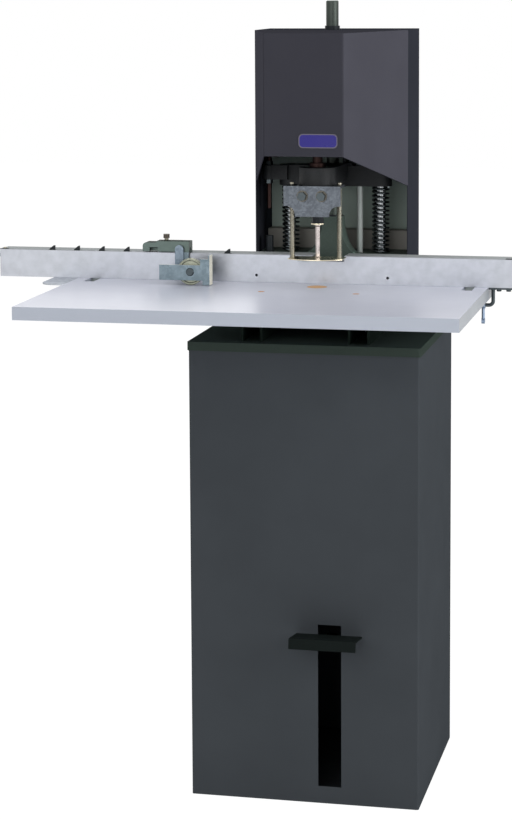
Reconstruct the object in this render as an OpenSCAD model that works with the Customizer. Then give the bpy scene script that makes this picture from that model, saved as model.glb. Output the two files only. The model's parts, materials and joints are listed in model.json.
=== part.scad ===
// Floor-standing paper drill with one hollow drill, worked by a foot pedal.
// Frame: origin on the floor under the middle of the pedestal, X to the right,
// Y to the back, Z up. All sizes are in millimetres.

/* [Pedestal] */
// Width of the pedestal
ped_w = 430; // [400:1:480]
// Depth of the pedestal
ped_d = 421; // [415:1:460]
// Height of the pedestal with its lid
ped_h = 861; // [800:1:900]
// Thickness of the pedestal's sheet steel
ped_t = 2.5; // [1.5:0.1:4]
// Thickness of the floor plate
base_t = 4; // [3:0.5:8]
// Thickness of the lid's sheet steel
lid_t = 2; // [1.5:0.1:3]
// Height of the lid's folded edge
lid_lip = 16; // [10:1:30]
// Diameter of the bolt holes in the floor plate
floor_hole_d = 11; // [8:0.5:14]
// Distance of a bolt hole from the side and the front of the pedestal
floor_hole_in = 35; // [25:1:60]
// Width of the pedal slot
slot_w = 44; // [40:1:60]
// Height of the slot's lower end
slot_low = 32; // [24:1:40]
// Height of the slot's upper end
slot_high = 340; // [335:1:380]
// Height of the middle of the service panel on the back
panel_z = 590; // [550:1:620]
// Width of the service panel
panel_w = 300; // [200:1:340]
// Height of the service panel
panel_h = 340; // [200:1:380]

/* [Pedal] */
// Sideways place of the pedal, its arm and the pull rod
pedal_x = 48.5; // [40:0.5:52]
// Width of the tread plate
tread_w = 124; // [90:1:150]
// Depth of the tread plate
tread_d = 70; // [60:1:80]
// Thickness of the tread plate
tread_t = 4; // [3:0.5:6]
// Height of the tread's folded front edge
tread_lip = 20; // [10:1:24]
// Tilt of the tread at rest, its front edge up
tread_tilt = 8; // [4:1:12]
// Height of the tread's back edge
tread_z = 323; // [318:1:326]
// Height of the pedal's pivot
pivot_z = 185; // [180:1:192]
// Distance of the pivot from the back of the pedestal
pivot_in = 14.5; // [14:0.1:16]
// Diameter of the pivot shaft
pivot_d = 12; // [10:0.5:13]
// Width of the pedal arm
arm_w = 30; // [26:1:34]
// Thickness of the arm's folded steel
arm_t = 4; // [3:0.5:5]

/* [Table] */
// Width of the table
table_w = 797; // [760:1:900]
// Depth of the table
table_d = 500; // [480:1:520]
// Thickness of the table board
table_t = 24; // [18:1:30]
// Height of the brackets under the table
bracket_h = 65; // [55:1:75]
// Distance of the table's middle to the left of the drill
table_shift = 82; // [60:1:100]
// Width of one table bracket
bracket_w = 40; // [36:1:50]
// Distance of each table bracket from the middle
bracket_x = 100; // [96:1:110]
// Distance from the back of the table to the brackets' front end
bracket_reach = 259; // [240:1:300]
// Distance of the table screws from the middle
plug_x = 89; // [86:1:92]
// Diameter of the plugs over the table screws
plug_d = 13; // [10:0.5:16]
// Diameter of the drilling block
block_d = 38; // [34:1:50]
// Thickness of the drilling block
block_t = 16; // [10:1:18]
// Distance of the drilling block's middle in front of the drill
block_out = 9; // [6:0.5:12]
// Width of the two fence slots in the table
tslot_w = 20; // [18:1:30]
// Distance of the left slot's middle from the table's left edge
tslot_left = 34; // [32:1:50]
// Distance of the right slot's middle from the table's right edge
tslot_right = 35; // [31:1:50]

/* [Head housing] */
// Width of the housing
cab_w = 299; // [296:1:320]
// Depth of the rear housing
cab_d = 142; // [140:1:150]
// Height of the housing
cab_h = 566; // [564:1:600]
// Thickness of the housing's sheet steel
cab_t = 2; // [1.5:0.1:3]
// How far the front cover stands out from the rear housing
cover_d = 269; // [262:1:290]
// Width of the cover's flat front
cover_front_w = 148; // [140:1:170]
// Height of the cover's front
cover_h = 222.5; // [210:0.5:235]
// Drop of the cover's lower side edges towards the back
cover_drop = 74.5; // [60:0.5:90]

/* [Head] */
// Working travel of the head
travel = 52.5; // [45:0.5:52.5]
// Distance of the drill from the front of the rear housing
drill_in = 134.5; // [132:0.5:137]
// Distance of the ram from the front of the rear housing
ram_in = 15.5; // [15:0.1:16]
// Height of the base block's top above the table
bed_up = 45; // [42:1:54]
// Diameter of the ram
ram_d = 24; // [20:1:25]
// Height of the ram above the housing at rest
ram_up = 56; // [54:1:70]
// Distance of each guide post from the middle
post_x = 89; // [86:1:94]
// Diameter of the guide posts
post_d = 20; // [16:1:22]
// Distance of the guide posts from the front of the rear housing
post_in = 46; // [44:1:50]
// Height of the head beam's underside above the table
beam_up = 175; // [172:1:178]
// Thickness of the head beam
beam_t = 40; // [34:1:44]
// Outer diameter of the spindle housing
boss_d = 69; // [64:1:72]
// Height of the spindle housing's top above the table
boss_up = 225; // [222:1:228]
// Diameter of the spindle
spindle_d = 25; // [22:1:28]
// Diameter of the chuck
chuck_d = 22; // [20:0.5:24]
// Height of the chuck's lower end above the table
chuck_up = 117; // [114:1:120]
// Outer diameter of the hollow drill
drill_d = 8.75; // [6:0.25:10]
// Wall of the hollow drill
drill_wall = 1.2; // [0.8:0.1:1.5]
// Diameter of the pull rod
rod_d = 12; // [10:0.5:13]
// Length of the depth screw below the head beam
stop_len = 45; // [40:1:50]
// Diameter of the depth screw
stop_d = 8.5; // [7:0.5:10]

/* [Drive] */
// Diameter of the motor
motor_d = 120; // [110:1:124]
// Sideways place of the motor
motor_x = 75; // [74:0.5:78]
// Distance of the motor from the front of the rear housing
motor_in = 66.5; // [66:0.5:70]
// Outer diameter of the motor's pulley
motor_pulley_d = 60; // [54:1:64]
// Outer diameter of the spindle's pulley
spindle_pulley_d = 66; // [60:1:70]

/* [Presser] */
// Clear height for paper under the presser foot
lift = 53; // [52.9:0.05:54]
// Thickness of the presser foot
foot_t = 2; // [1.5:0.1:3]
// Width of the presser foot
foot_w = 104; // [100:1:112]
// Depth of the presser foot
foot_d = 60; // [54:1:64]
// Distance of each presser rod from the drill
prod_x = 45; // [44:0.5:47]
// Distance of the presser rods in front of the drill
prod_out = 18; // [17:0.5:22]
// Diameter of the presser rods
prod_d = 6; // [5:0.5:6.5]
// Height of the presser bracket's top above the table
plate_up = 193.5; // [190:0.5:199]
// Distance of the bracket's seat in front of the drill
seat_out = 51.4; // [48:0.1:54]
// Width of the presser bracket
plate_w = 107.5; // [104:0.5:112]
// Thickness of the presser bracket
plate_t = 4; // [3:0.5:4.5]

/* [Springs] */
// Outer diameter of the return springs
rspring_d = 34.7; // [32:0.1:36]
// Wire of the return springs
rspring_wire = 4.2; // [3.5:0.1:4.5]
// Turns of a return spring
rspring_n = 13; // [11:1:14]
// Outer diameter of the presser springs
pspring_d = 10.4; // [9.2:0.1:10.6]
// Wire of the presser springs
pspring_wire = 1.2; // [1:0.1:1.3]
// Turns of a presser spring
pspring_n = 28; // [20:1:28]

/* [Fence] */
// Length of the fence
fence_w = 1002; // [960:1:1010]
// Depth of the fence's section
fence_d = 50; // [46:1:54]
// Height of the fence
fence_h = 53; // [50:0.5:53]
// Wall of the fence's section
fence_wall = 4; // [3:0.5:5]
// Distance of the fence's right end from the drill
fence_right = 362; // [350:1:370]
// Distance from the drill back to the fence's face
fence_back = 36.6; // [34:0.1:44]
// Travel of the fence towards the front
fence_fwd = 22; // [16:1:22]
// Travel of the fence towards the back
fence_aft = 33; // [20:1:34]
// Left end of the notch, from the drill
notch_left = 18; // [16:1:40]
// Right end of the notch, from the drill
notch_right = 43; // [30:1:50]
// Depth of the notch from the fence's top
notch_h = 10; // [8:1:24]

/* [Side guide] */
// Distance of the side guide's face to the left of the drill
guide_x = 201; // [190:1:210]
// Length of the guide's front plate
guide_w = 98; // [94:1:110]
// Height of the guide's front plate
guide_h = 29; // [26:1:32]
// Reach of the guide in front of the fence
guide_reach = 72; // [66:1:76]
// Depth of the guide's side plate
guide_side = 24; // [14:1:40]
// Diameter of the guide wheel
wheel_d = 51; // [48:0.5:52]
// Width of the guide wheel
wheel_w = 9; // [7:1:12]
// Length of the carriage
car_l = 92; // [88:1:104]
// Height of the carriage
car_h = 22; // [18:1:26]
// Spacing of the stop fingers
finger_step = 50; // [40:1:60]
// Length of a stop finger
finger_l = 11; // [9:0.5:14]
// Height of a stop finger
finger_h = 9; // [7:0.5:9.5]

/* [Hidden] */
$fn = 48;
gap = 0.3;
run = 0.05;
ped_wall_h = ped_h - lid_t;
table_z = ped_h + bracket_h + table_t;
cab_top = ped_h + cab_h;
cover_low = cab_top - cover_h;
ped_back = ped_d / 2;
ped_in_back = ped_back - ped_t;
panel_lap = 15;
screw_d = 6;
cab_front = ped_back - cab_d;
cab_in = cab_w / 2 - cab_t;
cab_flange = 20;
cover_front = cab_front - cover_d;
drill_y = cab_front - drill_in;
ram_y = cab_front + ram_in;
post_y = cab_front + post_in;
motor_y = cab_front + motor_in;
ram_top = cab_top + ram_up;
beam_z = table_z + beam_up;
beam_top = beam_z + beam_t;
boss_top = table_z + boss_up;
plate_top = table_z + plate_up;
foot_z = table_z + lift;
prod_y = drill_y - prod_out;
block_y = drill_y - block_out;
chuck_z = table_z + chuck_up;
drill_z = foot_z + 0.4;
boss_z = plate_top - 35;
bolt_z = plate_top - 18.5;
bed_top = table_z + bed_up;
post_root = 50;
tower_top = beam_z - travel - 4;
ram_low = bed_top - 4;
lug_r = post_d / 2 + 12;
boss_front = drill_y - seat_out;
plate_y = boss_front - plate_t;
pulley_z = cab_top - cab_t - 24;
motor_z = beam_top + 40;
motor_h = pulley_z - motor_z - 16;
stop_x = post_x + 38;
stop_low = beam_z + 12;
stop_y = post_y - 24.5;
table_left = -table_shift - table_w / 2;
table_right = -table_shift + table_w / 2;
clamp_x = table_right + 6.5;
table_back = cab_front - gap;
table_front = table_back - table_d;
table_under = table_z - table_t;
bracket_front = table_back - bracket_reach;
tslot_x = [table_left + tslot_left, table_right - tslot_right];
fence_y = drill_y + fence_back;
fence_left = fence_right - fence_w;
fence_top = table_z + fence_h;
lane_y = fence_y + 7.5;
lane_w = 6;
tslot_y0 = fence_y + 9 - fence_fwd - 32.6;
tslot_y1 = fence_y + 41.6 + fence_aft + 1;
pivot_y = ped_back - pivot_in;
swing_r = pivot_y - (ram_y + 27);
swing = 2 * atan(travel / 2 / swing_r);
pull_y = ram_y + 27;
pin_z = pivot_z + travel / 2;
pin_d = 10;
tread_back = -ped_back - 3.5;
boss_r = pivot_d / 2 + 5;
shank_d = 12;
mshaft_d = 16;

// Box between two opposite corners
module block(a, b) {
    translate(a)
        cube(b - a);
}

// Upright round bar
module rod(r, z0, z1) {
    translate([0, 0, z0])
        cylinder(r = r, h = z1 - z0);
}

// Upright round hole, run past both ends
module hole(r, z0, z1) {
    translate([0, 0, z0 - 1])
        cylinder(r = r, h = z1 - z0 + 2);
}

// Hexagon across its flats
module hex(flats, h) {
    cylinder(d = flats / cos(30), h = h, $fn = 6);
}

// Turns a flat outline in Y and Z into a plate across X
module side_plate(x0, x1) {
    translate([x0, 0, 0])
        rotate([90, 0, 90])
            linear_extrude(height = x1 - x0)
                children();
}

// Turns a flat outline in X and Z into a plate across Y
module front_plate(y0, y1) {
    translate([0, y1, 0])
        rotate([90, 0, 0])
            linear_extrude(height = y1 - y0)
                children();
}

// The same shape on the left and on the right
module both(x) {
    for (s = [-1, 1])
        translate([s * x, 0, 0])
            children();
}

// Centre line of an open coil from z0 up to z1: a straight leg, a bend, the turns, a bend, a leg
function coil_run(r, wire, n, z0, z1) =
    let (
        bend = wire * 0.9,
        leg = wire,
        rise = z1 - z0 - 2 * (leg + bend),
        arc = 2 * PI * r * n)
    concat(
        [[0, z0, 0], [0, z0 + leg, 0]],
        [for (a = [30, 60]) [bend * (1 - cos(a)), z0 + leg + bend * sin(a), a]],
        [for (i = [0 : 8 * n]) [bend + arc * i / (8 * n), z0 + leg + bend + rise * i / (8 * n), 90]],
        [for (a = [60, 30]) [arc + bend * 2 - bend * (1 - cos(a)), z1 - leg - bend * sin(a), a]],
        [[arc + 2 * bend, z1 - leg, 0], [arc + 2 * bend, z1, 0]]);

// One ring of six points round a point of the centre line
function coil_ring(p, r, wire) =
    let (
        turn = p[0] / r * 180 / PI,
        out = [cos(turn), sin(turn), 0],
        side = [-sin(turn), cos(turn), 0],
        across = side * cos(p[2]) + [0, 0, -sin(p[2])])
    [for (k = [0 : 5])
        out * (r + wire / 2 * cos(60 * k)) + [0, 0, p[1]] + across * (wire / 2 * sin(60 * k))];

// Coil spring as one unbroken tube
module coil(d, wire, n, z0, z1) {
    r = (d - wire) / 2;
    line = coil_run(r, wire, n, z0, z1);
    rings = len(line);
    points = [for (p = line) each coil_ring(p, r, wire)];
    sides = [for (i = [0 : rings - 2]) for (k = [0 : 5]) each [
        [6 * i + k, 6 * i + (k + 1) % 6, 6 * i + 6 + (k + 1) % 6],
        [6 * i + k, 6 * i + 6 + (k + 1) % 6, 6 * i + 6 + k]]];
    ends = [for (k = [1 : 4]) each [
        [0, k + 1, k],
        [6 * rings - 6, 6 * rings - 6 + k, 6 * rings - 5 + k]]];
    polyhedron(points = points, faces = concat(sides, ends), convexity = 10);
}

// Least gap between the turns of a coil
function coil_gap(d, wire, n, z0, z1) =
    let (
        line = coil_run((d - wire) / 2, wire, n, z0, z1),
        pitch = line[13 + 4][1] - line[5 + 4][1])
    pitch - wire;

module base_plate() {
    color("#3a3f42")
        difference() {
            block([-ped_w / 2 + ped_t, -ped_back + ped_t, 0], [ped_w / 2 - ped_t, ped_in_back, base_t]);
            for (y = [-1, 1])
                both(ped_w / 2 - floor_hole_in)
                    translate([0, y * (ped_back - floor_hole_in), 0])
                        hole(floor_hole_d / 2, 0, base_t);
        }
}

module pedestal() {
    color("#404447")
        difference() {
            block([-ped_w / 2, -ped_back, 0], [ped_w / 2, ped_back, ped_wall_h]);
            block(
                [-ped_w / 2 + ped_t, -ped_back + ped_t, -1],
                [ped_w / 2 - ped_t, ped_in_back, ped_wall_h + 1]);
            block(
                [pedal_x - slot_w / 2, -ped_back - 1, slot_low],
                [pedal_x + slot_w / 2, -ped_back + ped_t + 1, slot_high]);
            block(
                [-panel_w / 2 + panel_lap, ped_in_back - 1, panel_z - panel_h / 2 + panel_lap],
                [panel_w / 2 - panel_lap, ped_back + 1, panel_z + panel_h / 2 - panel_lap]);
        }
}

module rear_panel() {
    color("#3b4043")
        block(
            [-panel_w / 2, ped_back, panel_z - panel_h / 2],
            [panel_w / 2, ped_back + lid_t, panel_z + panel_h / 2]);
}

module pedestal_lid() {
    edge = gap + lid_t;
    color("#2b2f31")
        difference() {
            block([-ped_w / 2 - edge, -ped_back - edge, ped_h - lid_lip], [ped_w / 2 + edge, ped_back + edge, ped_h]);
            block(
                [-ped_w / 2 - gap, -ped_back - gap, ped_h - lid_lip - 1],
                [ped_w / 2 + gap, ped_back + gap, ped_wall_h]);
            translate([pedal_x, pull_y, 0])
                hole(rod_d / 2 + 4, ped_wall_h, ped_h);
            translate([0, ram_y, 0])
                hole(ram_d / 2 + 3, ped_wall_h, ped_h);
            cabinet_bolts()
                hole(screw_d / 2 + gap, ped_wall_h, ped_h);
        }
}

// Places of the screws that hold the rear housing down
module cabinet_bolts() {
    both(cab_in - cab_flange / 2)
        for (y = [cab_front + 30, ped_back - 30])
            translate([0, y, 0])
                children();
}

module pedal_brackets() {
    color("#5a5f62")
        difference() {
            for (s = [-1, 1]) {
                near = arm_w / 2 + 1;
                far = near + 5;
                x0 = pedal_x + min(s * near, s * far);
                block([x0, pivot_y - 14, pivot_z - 25], [x0 + 5, ped_in_back, pivot_z + 25]);
                x1 = pedal_x + min(s * far, s * (far + 20));
                block([x1, ped_in_back - 4, pivot_z - 25], [x1 + 20, ped_in_back, pivot_z + 25]);
            }
            translate([pedal_x - arm_w, pivot_y, pivot_z])
                rotate([0, 90, 0])
                    cylinder(r = pivot_d / 2 + run, h = 2 * arm_w);
        }
}

module pedal_shaft() {
    color("#9aa0a4")
        translate([pedal_x - arm_w / 2 - 8, pivot_y, pivot_z])
            rotate([0, 90, 0])
                cylinder(d = pivot_d, h = arm_w + 16);
}

// Base block with the round tower that guides the ram, its foot flared out
module base_casting() {
    half = cab_in - cab_flange - 3;
    wide = cab_in - 1;
    back = ped_back - cab_t - 4;
    front = cab_front + 1;
    face = cab_front - 2;
    flare_r = 34;
    tower_r = ram_d / 2 + 11;
    color("#39443f")
        difference() {
            union() {
                block([-half, front, ped_h], [half, back, bed_top]);
                block([-half, face, table_z + 1], [half, front + 1, bed_top]);
                block([-wide, cab_front + 4, bed_top - 12], [wide, back, bed_top]);
                block([-wide, back - 36, bed_top - 1], [wide, back, bed_top + 37]);
                translate([0, ram_y, 0])
                    intersection() {
                        rotate_extrude()
                            polygon(concat(
                                [[0, bed_top - 1], [tower_r + flare_r, bed_top - 1]],
                                [for (a = [90 : -10 : 0]) [
                                    tower_r + flare_r * (1 - cos(a)),
                                    tower_top - (tower_top - bed_top) * sin(a)]],
                                [[0, tower_top]]));
                        block([-half, face - ram_y, bed_top - 2], [half, back - ram_y, tower_top + 2]);
                    }
            }
            translate([0, ram_y, 0]) {
                hole(ram_d / 2 + 1, ped_h, tower_top);
                hole(ram_d / 2 + 3, tower_top - 36.3, tower_top);
            }
            both(post_x)
                translate([0, post_y, bed_top - post_root])
                    cylinder(r = post_d / 2 + run, h = post_root + 10);
            translate([pedal_x, pull_y, 0])
                hole(rod_d / 2 + 4, ped_h, tower_top);
            translate([-stop_x, stop_y, bed_top - 20])
                cylinder(r = 8, h = 30);
        }
}

module table_brackets() {
    t = 4;
    back = cab_front - 8;
    color("#33383a")
        difference() {
            both(bracket_x)
                block([-bracket_w / 2, bracket_front, ped_h], [bracket_w / 2, back, table_under]);
            both(bracket_x)
                block([-bracket_w / 2 + t, bracket_front - 1, ped_h - 1], [bracket_w / 2 - t, back + 1, table_under - t]);
            table_bolts()
                hole(screw_d / 2 + gap, table_under - t, table_under);
        }
}

// Places of the table screws, over the brackets
module table_bolts() {
    both(plug_x)
        for (y = [bracket_front + 34, cab_front - 42])
            translate([0, y, 0])
                children();
}

module table_board() {
    color("#c5c8d8")
        difference() {
            block([table_left, table_front, table_under], [table_right, table_back, table_z]);
            table_bolts() {
                hole(screw_d / 2 + gap, table_under, table_z);
                translate([0, 0, table_z - 10])
                    cylinder(r = plug_d / 2 + run, h = 11);
            }
            translate([0, block_y, 0]) {
                hole(block_d / 2 - 4, table_under, table_z);
                translate([0, 0, table_z - block_t])
                    cylinder(r = block_d / 2 + gap, h = block_t + 1);
            }
            for (x = tslot_x)
                block([x - tslot_w / 2, tslot_y0, table_under - 1], [x + tslot_w / 2, tslot_y1, table_z + 1]);
        }
}

module table_screws() {
    color("#8d8f92")
        table_bolts() {
            rod(screw_d / 2, table_under - 12, table_z - 10);
            rod(plug_d / 2 - 0.5, table_z - 10, table_z - 6);
        }
}

module screw_plugs() {
    color("#d9a05c")
        table_bolts()
            rod(plug_d / 2, table_z - 6, table_z);
}

module drilling_block() {
    color("#dba25e")
        translate([0, block_y, 0])
            rod(block_d / 2, table_z - block_t, table_z);
}

module rear_housing() {
    color("#33353c")
        difference() {
            block([-cab_w / 2, cab_front, ped_h], [cab_w / 2, ped_back, cab_top]);
            block([-cab_in, cab_front - 1, ped_h + cab_t], [cab_in, ped_back - cab_t, cab_top - cab_t]);
            block([-cab_in + cab_flange, cab_front - 1, ped_h - 1], [cab_in - cab_flange, ped_back - cab_t, ped_h + 3]);
            translate([0, ram_y, 0])
                hole(ram_d / 2 + 1.6, cab_top - cab_t, cab_top);
            cabinet_bolts()
                hole(screw_d / 2 + gap, ped_h, ped_h + cab_t);
        }
}

module housing_screws() {
    seat = ped_h + cab_t;
    color("#8d8f92") {
        cabinet_bolts() {
            rod(screw_d / 2, ped_wall_h - 8, seat);
            translate([0, 0, seat])
                hex(10, 4);
        }
        for (z = [-1, 1])
            both(panel_w / 2 - panel_lap / 2)
                translate([0, ped_back + lid_t, panel_z + z * (panel_h / 2 - panel_lap / 2)])
                    rotate([-90, 0, 0])
                        cylinder(r1 = 4.5, r2 = 3, h = 2.5);
    }
}

// Half width of the cover at a place between its front and its back
function cover_half(y) =
    cover_front_w / 2 + (cab_w - cover_front_w) / 2 * (y - cover_front) / cover_d;

module head_cover() {
    lean = sqrt(pow((cab_w - cover_front_w) / 2, 2) + pow(cover_d, 2)) / cover_d * cab_t;
    y1 = cover_front + cab_t;
    low = cover_low - cover_drop;
    color("#4b4a52")
        difference() {
            translate([0, 0, low - 1])
                linear_extrude(height = cab_top - low + 1)
                    polygon([
                        [-cover_front_w / 2, cover_front], [cover_front_w / 2, cover_front],
                        [cab_w / 2, cab_front], [-cab_w / 2, cab_front]]);
            translate([0, 0, low - 2])
                linear_extrude(height = cab_top - cab_t - low + 2)
                    polygon([
                        [lean - cover_half(y1), y1], [cover_half(y1) - lean, y1],
                        [cover_half(cab_front + 1) - lean, cab_front + 1],
                        [lean - cover_half(cab_front + 1), cab_front + 1]]);
            side_plate(-cab_w, cab_w)
                polygon([
                    [cover_front - 1, cover_low + cover_drop / cover_d],
                    [cab_front + 1, low - cover_drop / cover_d],
                    [cab_front + 1, low - 40], [cover_front - 1, low - 40]]);
        }
}

module ram_bushings() {
    bore = ram_d / 2 + run;
    color("#1d1f21")
        translate([0, ram_y, 0]) {
            difference() {
                union() {
                    rod(ram_d / 2 + 1.4, cab_top - 18, cab_top);
                    rod(ram_d / 2 + 2.4, cab_top, cab_top + 8);
                }
                hole(bore, cab_top - 18, cab_top + 8);
            }
            difference() {
                union() {
                    rod(ram_d / 2 + 2.9, tower_top - 36, tower_top);
                    rod(ram_d / 2 + 7, tower_top, tower_top + 2.5);
                }
                hole(bore, tower_top - 36, tower_top + 2.5);
            }
        }
}

module guide_posts() {
    color("#a9adb0")
        both(post_x)
            translate([0, post_y, 0])
                rod(post_d / 2, bed_top - post_root, (beam_z + beam_top) / 2 - 2);
}

module return_springs() {
    color("#23272a")
        both(post_x)
            translate([0, post_y, 0])
                coil(rspring_d, rspring_wire, rspring_n, bed_top, beam_z);
}

module depth_stop_post() {
    color("#2a2e30")
        translate([-stop_x, stop_y, 0])
            rod(7.9, bed_top - 20, beam_z - stop_len - travel - gap);
}

// Moving head: rear beam with a clamp round the ram, forward arm and spindle housing
module head_casting() {
    color("#26292b")
        difference() {
            union() {
                translate([0, post_y, 0]) {
                    both(post_x)
                        rod(lug_r, beam_z, beam_top);
                    block([-post_x, -lug_r, beam_z], [post_x, lug_r, beam_top]);
                }
                translate([0, ram_y, 0])
                    rod(ram_d / 2 + 14, beam_z, beam_top);
                translate([-stop_x, stop_y, 0])
                    rod(stop_d / 2 + 8, stop_low, beam_top);
                block([-stop_x, stop_y - stop_d / 2 - 6, stop_low], [-post_x, stop_y + 12, beam_top]);
                block([-28, drill_y, beam_z + 16], [28, post_y - lug_r, beam_top + 6]);
                translate([0, drill_y, 0])
                    rod(boss_d / 2, boss_z, boss_top);
                block([-29, boss_front, boss_z], [29, drill_y, plate_top - 1]);
            }
            translate([0, ram_y, 0])
                hole(ram_d / 2 + run, beam_z, beam_top + 6);
            both(post_x)
                translate([0, post_y, 0])
                    hole(post_d / 2 + run, beam_z, beam_top);
            translate([pedal_x, pull_y, 0])
                hole(rod_d / 2 + run, beam_z, beam_top);
            translate([-stop_x, stop_y, 0])
                hole(stop_d / 2 + run, stop_low, beam_top);
            translate([0, drill_y, 0]) {
                hole(spindle_d / 2 + 3, boss_z, boss_top);
                for (z = [boss_z - 1, boss_top - 12])
                    translate([0, 0, z])
                        cylinder(r = spindle_d / 2 + 10.5, h = 13);
            }
            bolt_places(18)
                cylinder(r = 5 + run, h = 19);
        }
}

// Places of the two bolts in the spindle housing's pad, drawn into the pad from its face
module bolt_places(x) {
    for (s = [-1, 1])
        translate([s * x, boss_front - 1, bolt_z])
            rotate([-90, 0, 0])
                children();
}

module ram() {
    color("#4a524c")
        translate([0, ram_y, 0]) {
            rod(ram_d / 2, ram_low, ram_top - 1.5);
            translate([0, 0, ram_top - 1.5])
                cylinder(r1 = ram_d / 2, r2 = ram_d / 2 - 1.5, h = 1.5);
        }
}

module pull_rod() {
    color("#8c9094")
        translate([pedal_x, pull_y, 0])
            difference() {
                union() {
                    rod(rod_d / 2, pin_z, beam_top + 18);
                    translate([-6, 0, pin_z])
                        rotate([0, 90, 0])
                            cylinder(r = pin_d / 2 + 5, h = 12);
                }
                translate([-7, 0, pin_z])
                    rotate([0, 90, 0])
                        cylinder(r = pin_d / 2 + run, h = 14);
            }
}

// Hexagon nuts: one on the pull rod and two on the depth screw
module lock_nuts() {
    color("#4a4e51") {
        translate([pedal_x, pull_y, beam_top])
            difference() {
                hex(19, 9);
                hole(rod_d / 2 + run, 0, 9);
            }
        translate([-stop_x, stop_y, 0])
            for (z = [stop_low - 8, beam_top])
                translate([0, 0, z])
                    difference() {
                        hex(stop_d + 5, 8);
                        hole(stop_d / 2 + run, 0, 8);
                    }
    }
}

module rod_pin() {
    color("#9aa0a4")
        translate([pedal_x - arm_w / 2 - 3, pull_y, pin_z])
            rotate([0, 90, 0])
                cylinder(d = pin_d, h = arm_w + 6);
}

module spindle_bearings() {
    color("#b4b8bb")
        translate([0, drill_y, 0])
            for (z = [boss_z, boss_top - 12])
                difference() {
                    rod(spindle_d / 2 + 10.4, z, z + 12);
                    hole(spindle_d / 2 + run, z, z + 12);
                }
}

// Folded zinc plate on the spindle housing: shouldered front and two ears that guide the rods
module presser_bracket() {
    half = plate_w / 2;
    foot_half = half - 22.5;
    low = chuck_z + 19.5;
    shoulder = low + 20;
    color("#7c8490")
        difference() {
            union() {
                front_plate(plate_y, plate_y + plate_t)
                    difference() {
                        polygon([
                            [-half, plate_top], [half, plate_top], [half, shoulder], [half - 8, shoulder],
                            [foot_half, low], [-foot_half, low], [8 - half, shoulder], [-half, shoulder]]);
                        both(half - 4.5)
                            translate([0, low + 3])
                                circle(r = 17, $fn = 64);
                    }
                both(prod_x) {
                    block([-half + prod_x + 1, plate_y, plate_top - plate_t], [half - prod_x - 1, prod_y + 11, plate_top]);
                }
            }
            both(prod_x)
                translate([0, prod_y, 0])
                    hole(prod_d / 2 + run, plate_top - plate_t, plate_top);
            for (x = [-18, 18])
                translate([x, plate_y - 1, bolt_z])
                    rotate([-90, 0, 0])
                        cylinder(r = 5 + gap, h = plate_t + 2);
        }
}

module bracket_bolts() {
    color("#b9b4a4")
        for (x = [-18, 18])
            translate([x, plate_y, bolt_z])
                rotate([90, 0, 0]) {
                    cylinder(r = 10.5, h = 1.6);
                    translate([0, 0, 1.6])
                        rotate([0, 0, 12])
                            hex(15, 9);
                    translate([0, 0, -plate_t - 16])
                        cylinder(r = 5, h = plate_t + 16);
                }
}

module depth_screw() {
    color("#5b3f36")
        translate([-stop_x, stop_y, 0])
            rod(stop_d / 2, beam_z - stop_len, beam_top + 16);
}

// Motor with ribbed body, domed end and face
module motor() {
    r = motor_d / 2;
    color("#2d3336")
        translate([motor_x, motor_y, motor_z + 6])
            difference() {
                union() {
                    rotate_extrude()
                        polygon([
                            [0, 0], [r - 8, 0], [r, 6], [r, 30], [r - 4, 32], [r - 4, motor_h - 32],
                            [r, motor_h - 30], [r, motor_h - 12], [r - 12, motor_h], [0, motor_h]]);
                    for (a = [0 : 15 : 345])
                        rotate([0, 0, a])
                            block([r - 6, -1.2, 31], [r - 0.5, 1.2, motor_h - 31]);
                }
                hole(mshaft_d / 2 + run, 0, motor_h);
            }
}

// Folded plate that carries the motor on the head beam
module motor_mount() {
    color("#3a3f42")
        difference() {
            union() {
                block([ram_d / 2 + 6, post_y - 20, beam_top], [pedal_x - 12, post_y + 20, beam_top + 5]);
                block([ram_d / 2 + 6, post_y - 20, beam_top], [ram_d / 2 + 11, post_y + 20, motor_z + 6]);
                block([ram_d / 2 + 6, post_y - lug_r - 18, motor_z], [cab_in - 8, motor_y + motor_d / 2 + 2, motor_z + 6]);
            }
            translate([motor_x, motor_y, 0])
                hole(14, motor_z, motor_z + 6);
        }
}

// Solid that goes round both pulleys, grown from their rims by the given amount
module belt_wrap(grow, z, h) {
    hull() {
        translate([0, drill_y, z])
            cylinder(r = spindle_pulley_d / 2 + grow, h = h);
        translate([motor_x, motor_y, z])
            cylinder(r = motor_pulley_d / 2 + grow, h = h);
    }
}

module drive_belt() {
    color("#1b1c1e")
        difference() {
            belt_wrap(1.5, pulley_z + 5, 8);
            belt_wrap(-4.5, pulley_z + 4, 10);
        }
}

module presser_springs() {
    color("#b5ac97")
        both(prod_x)
            translate([0, prod_y, 0])
                coil(pspring_d, pspring_wire, pspring_n, foot_z + foot_t, plate_top - plate_t);
}

// Hollow spindle, from the chuck up to its pulley
module spindle() {
    step = boss_top + 8;
    color("#7d5244")
        translate([0, drill_y, 0])
            difference() {
                union() {
                    rod(spindle_d / 2, chuck_z + 23, step);
                    rod(spindle_d / 2 + 3, boss_top + gap, step);
                    rod(spindle_d / 2 - 3, step, pulley_z + 20);
                }
                hole(4, chuck_z + 23, pulley_z + 20);
            }
}

module chuck() {
    color("#2b2c2e")
        translate([0, drill_y, 0])
            difference() {
                union() {
                    rod(chuck_d / 2, chuck_z, chuck_z + 23);
                    rod(chuck_d / 2 + 1.5, chuck_z, chuck_z + 3);
                }
                translate([0, 0, chuck_z - 1])
                    cylinder(r = shank_d / 2 + run, h = 19);
                hole(4, chuck_z, chuck_z + 23);
            }
}

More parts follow.
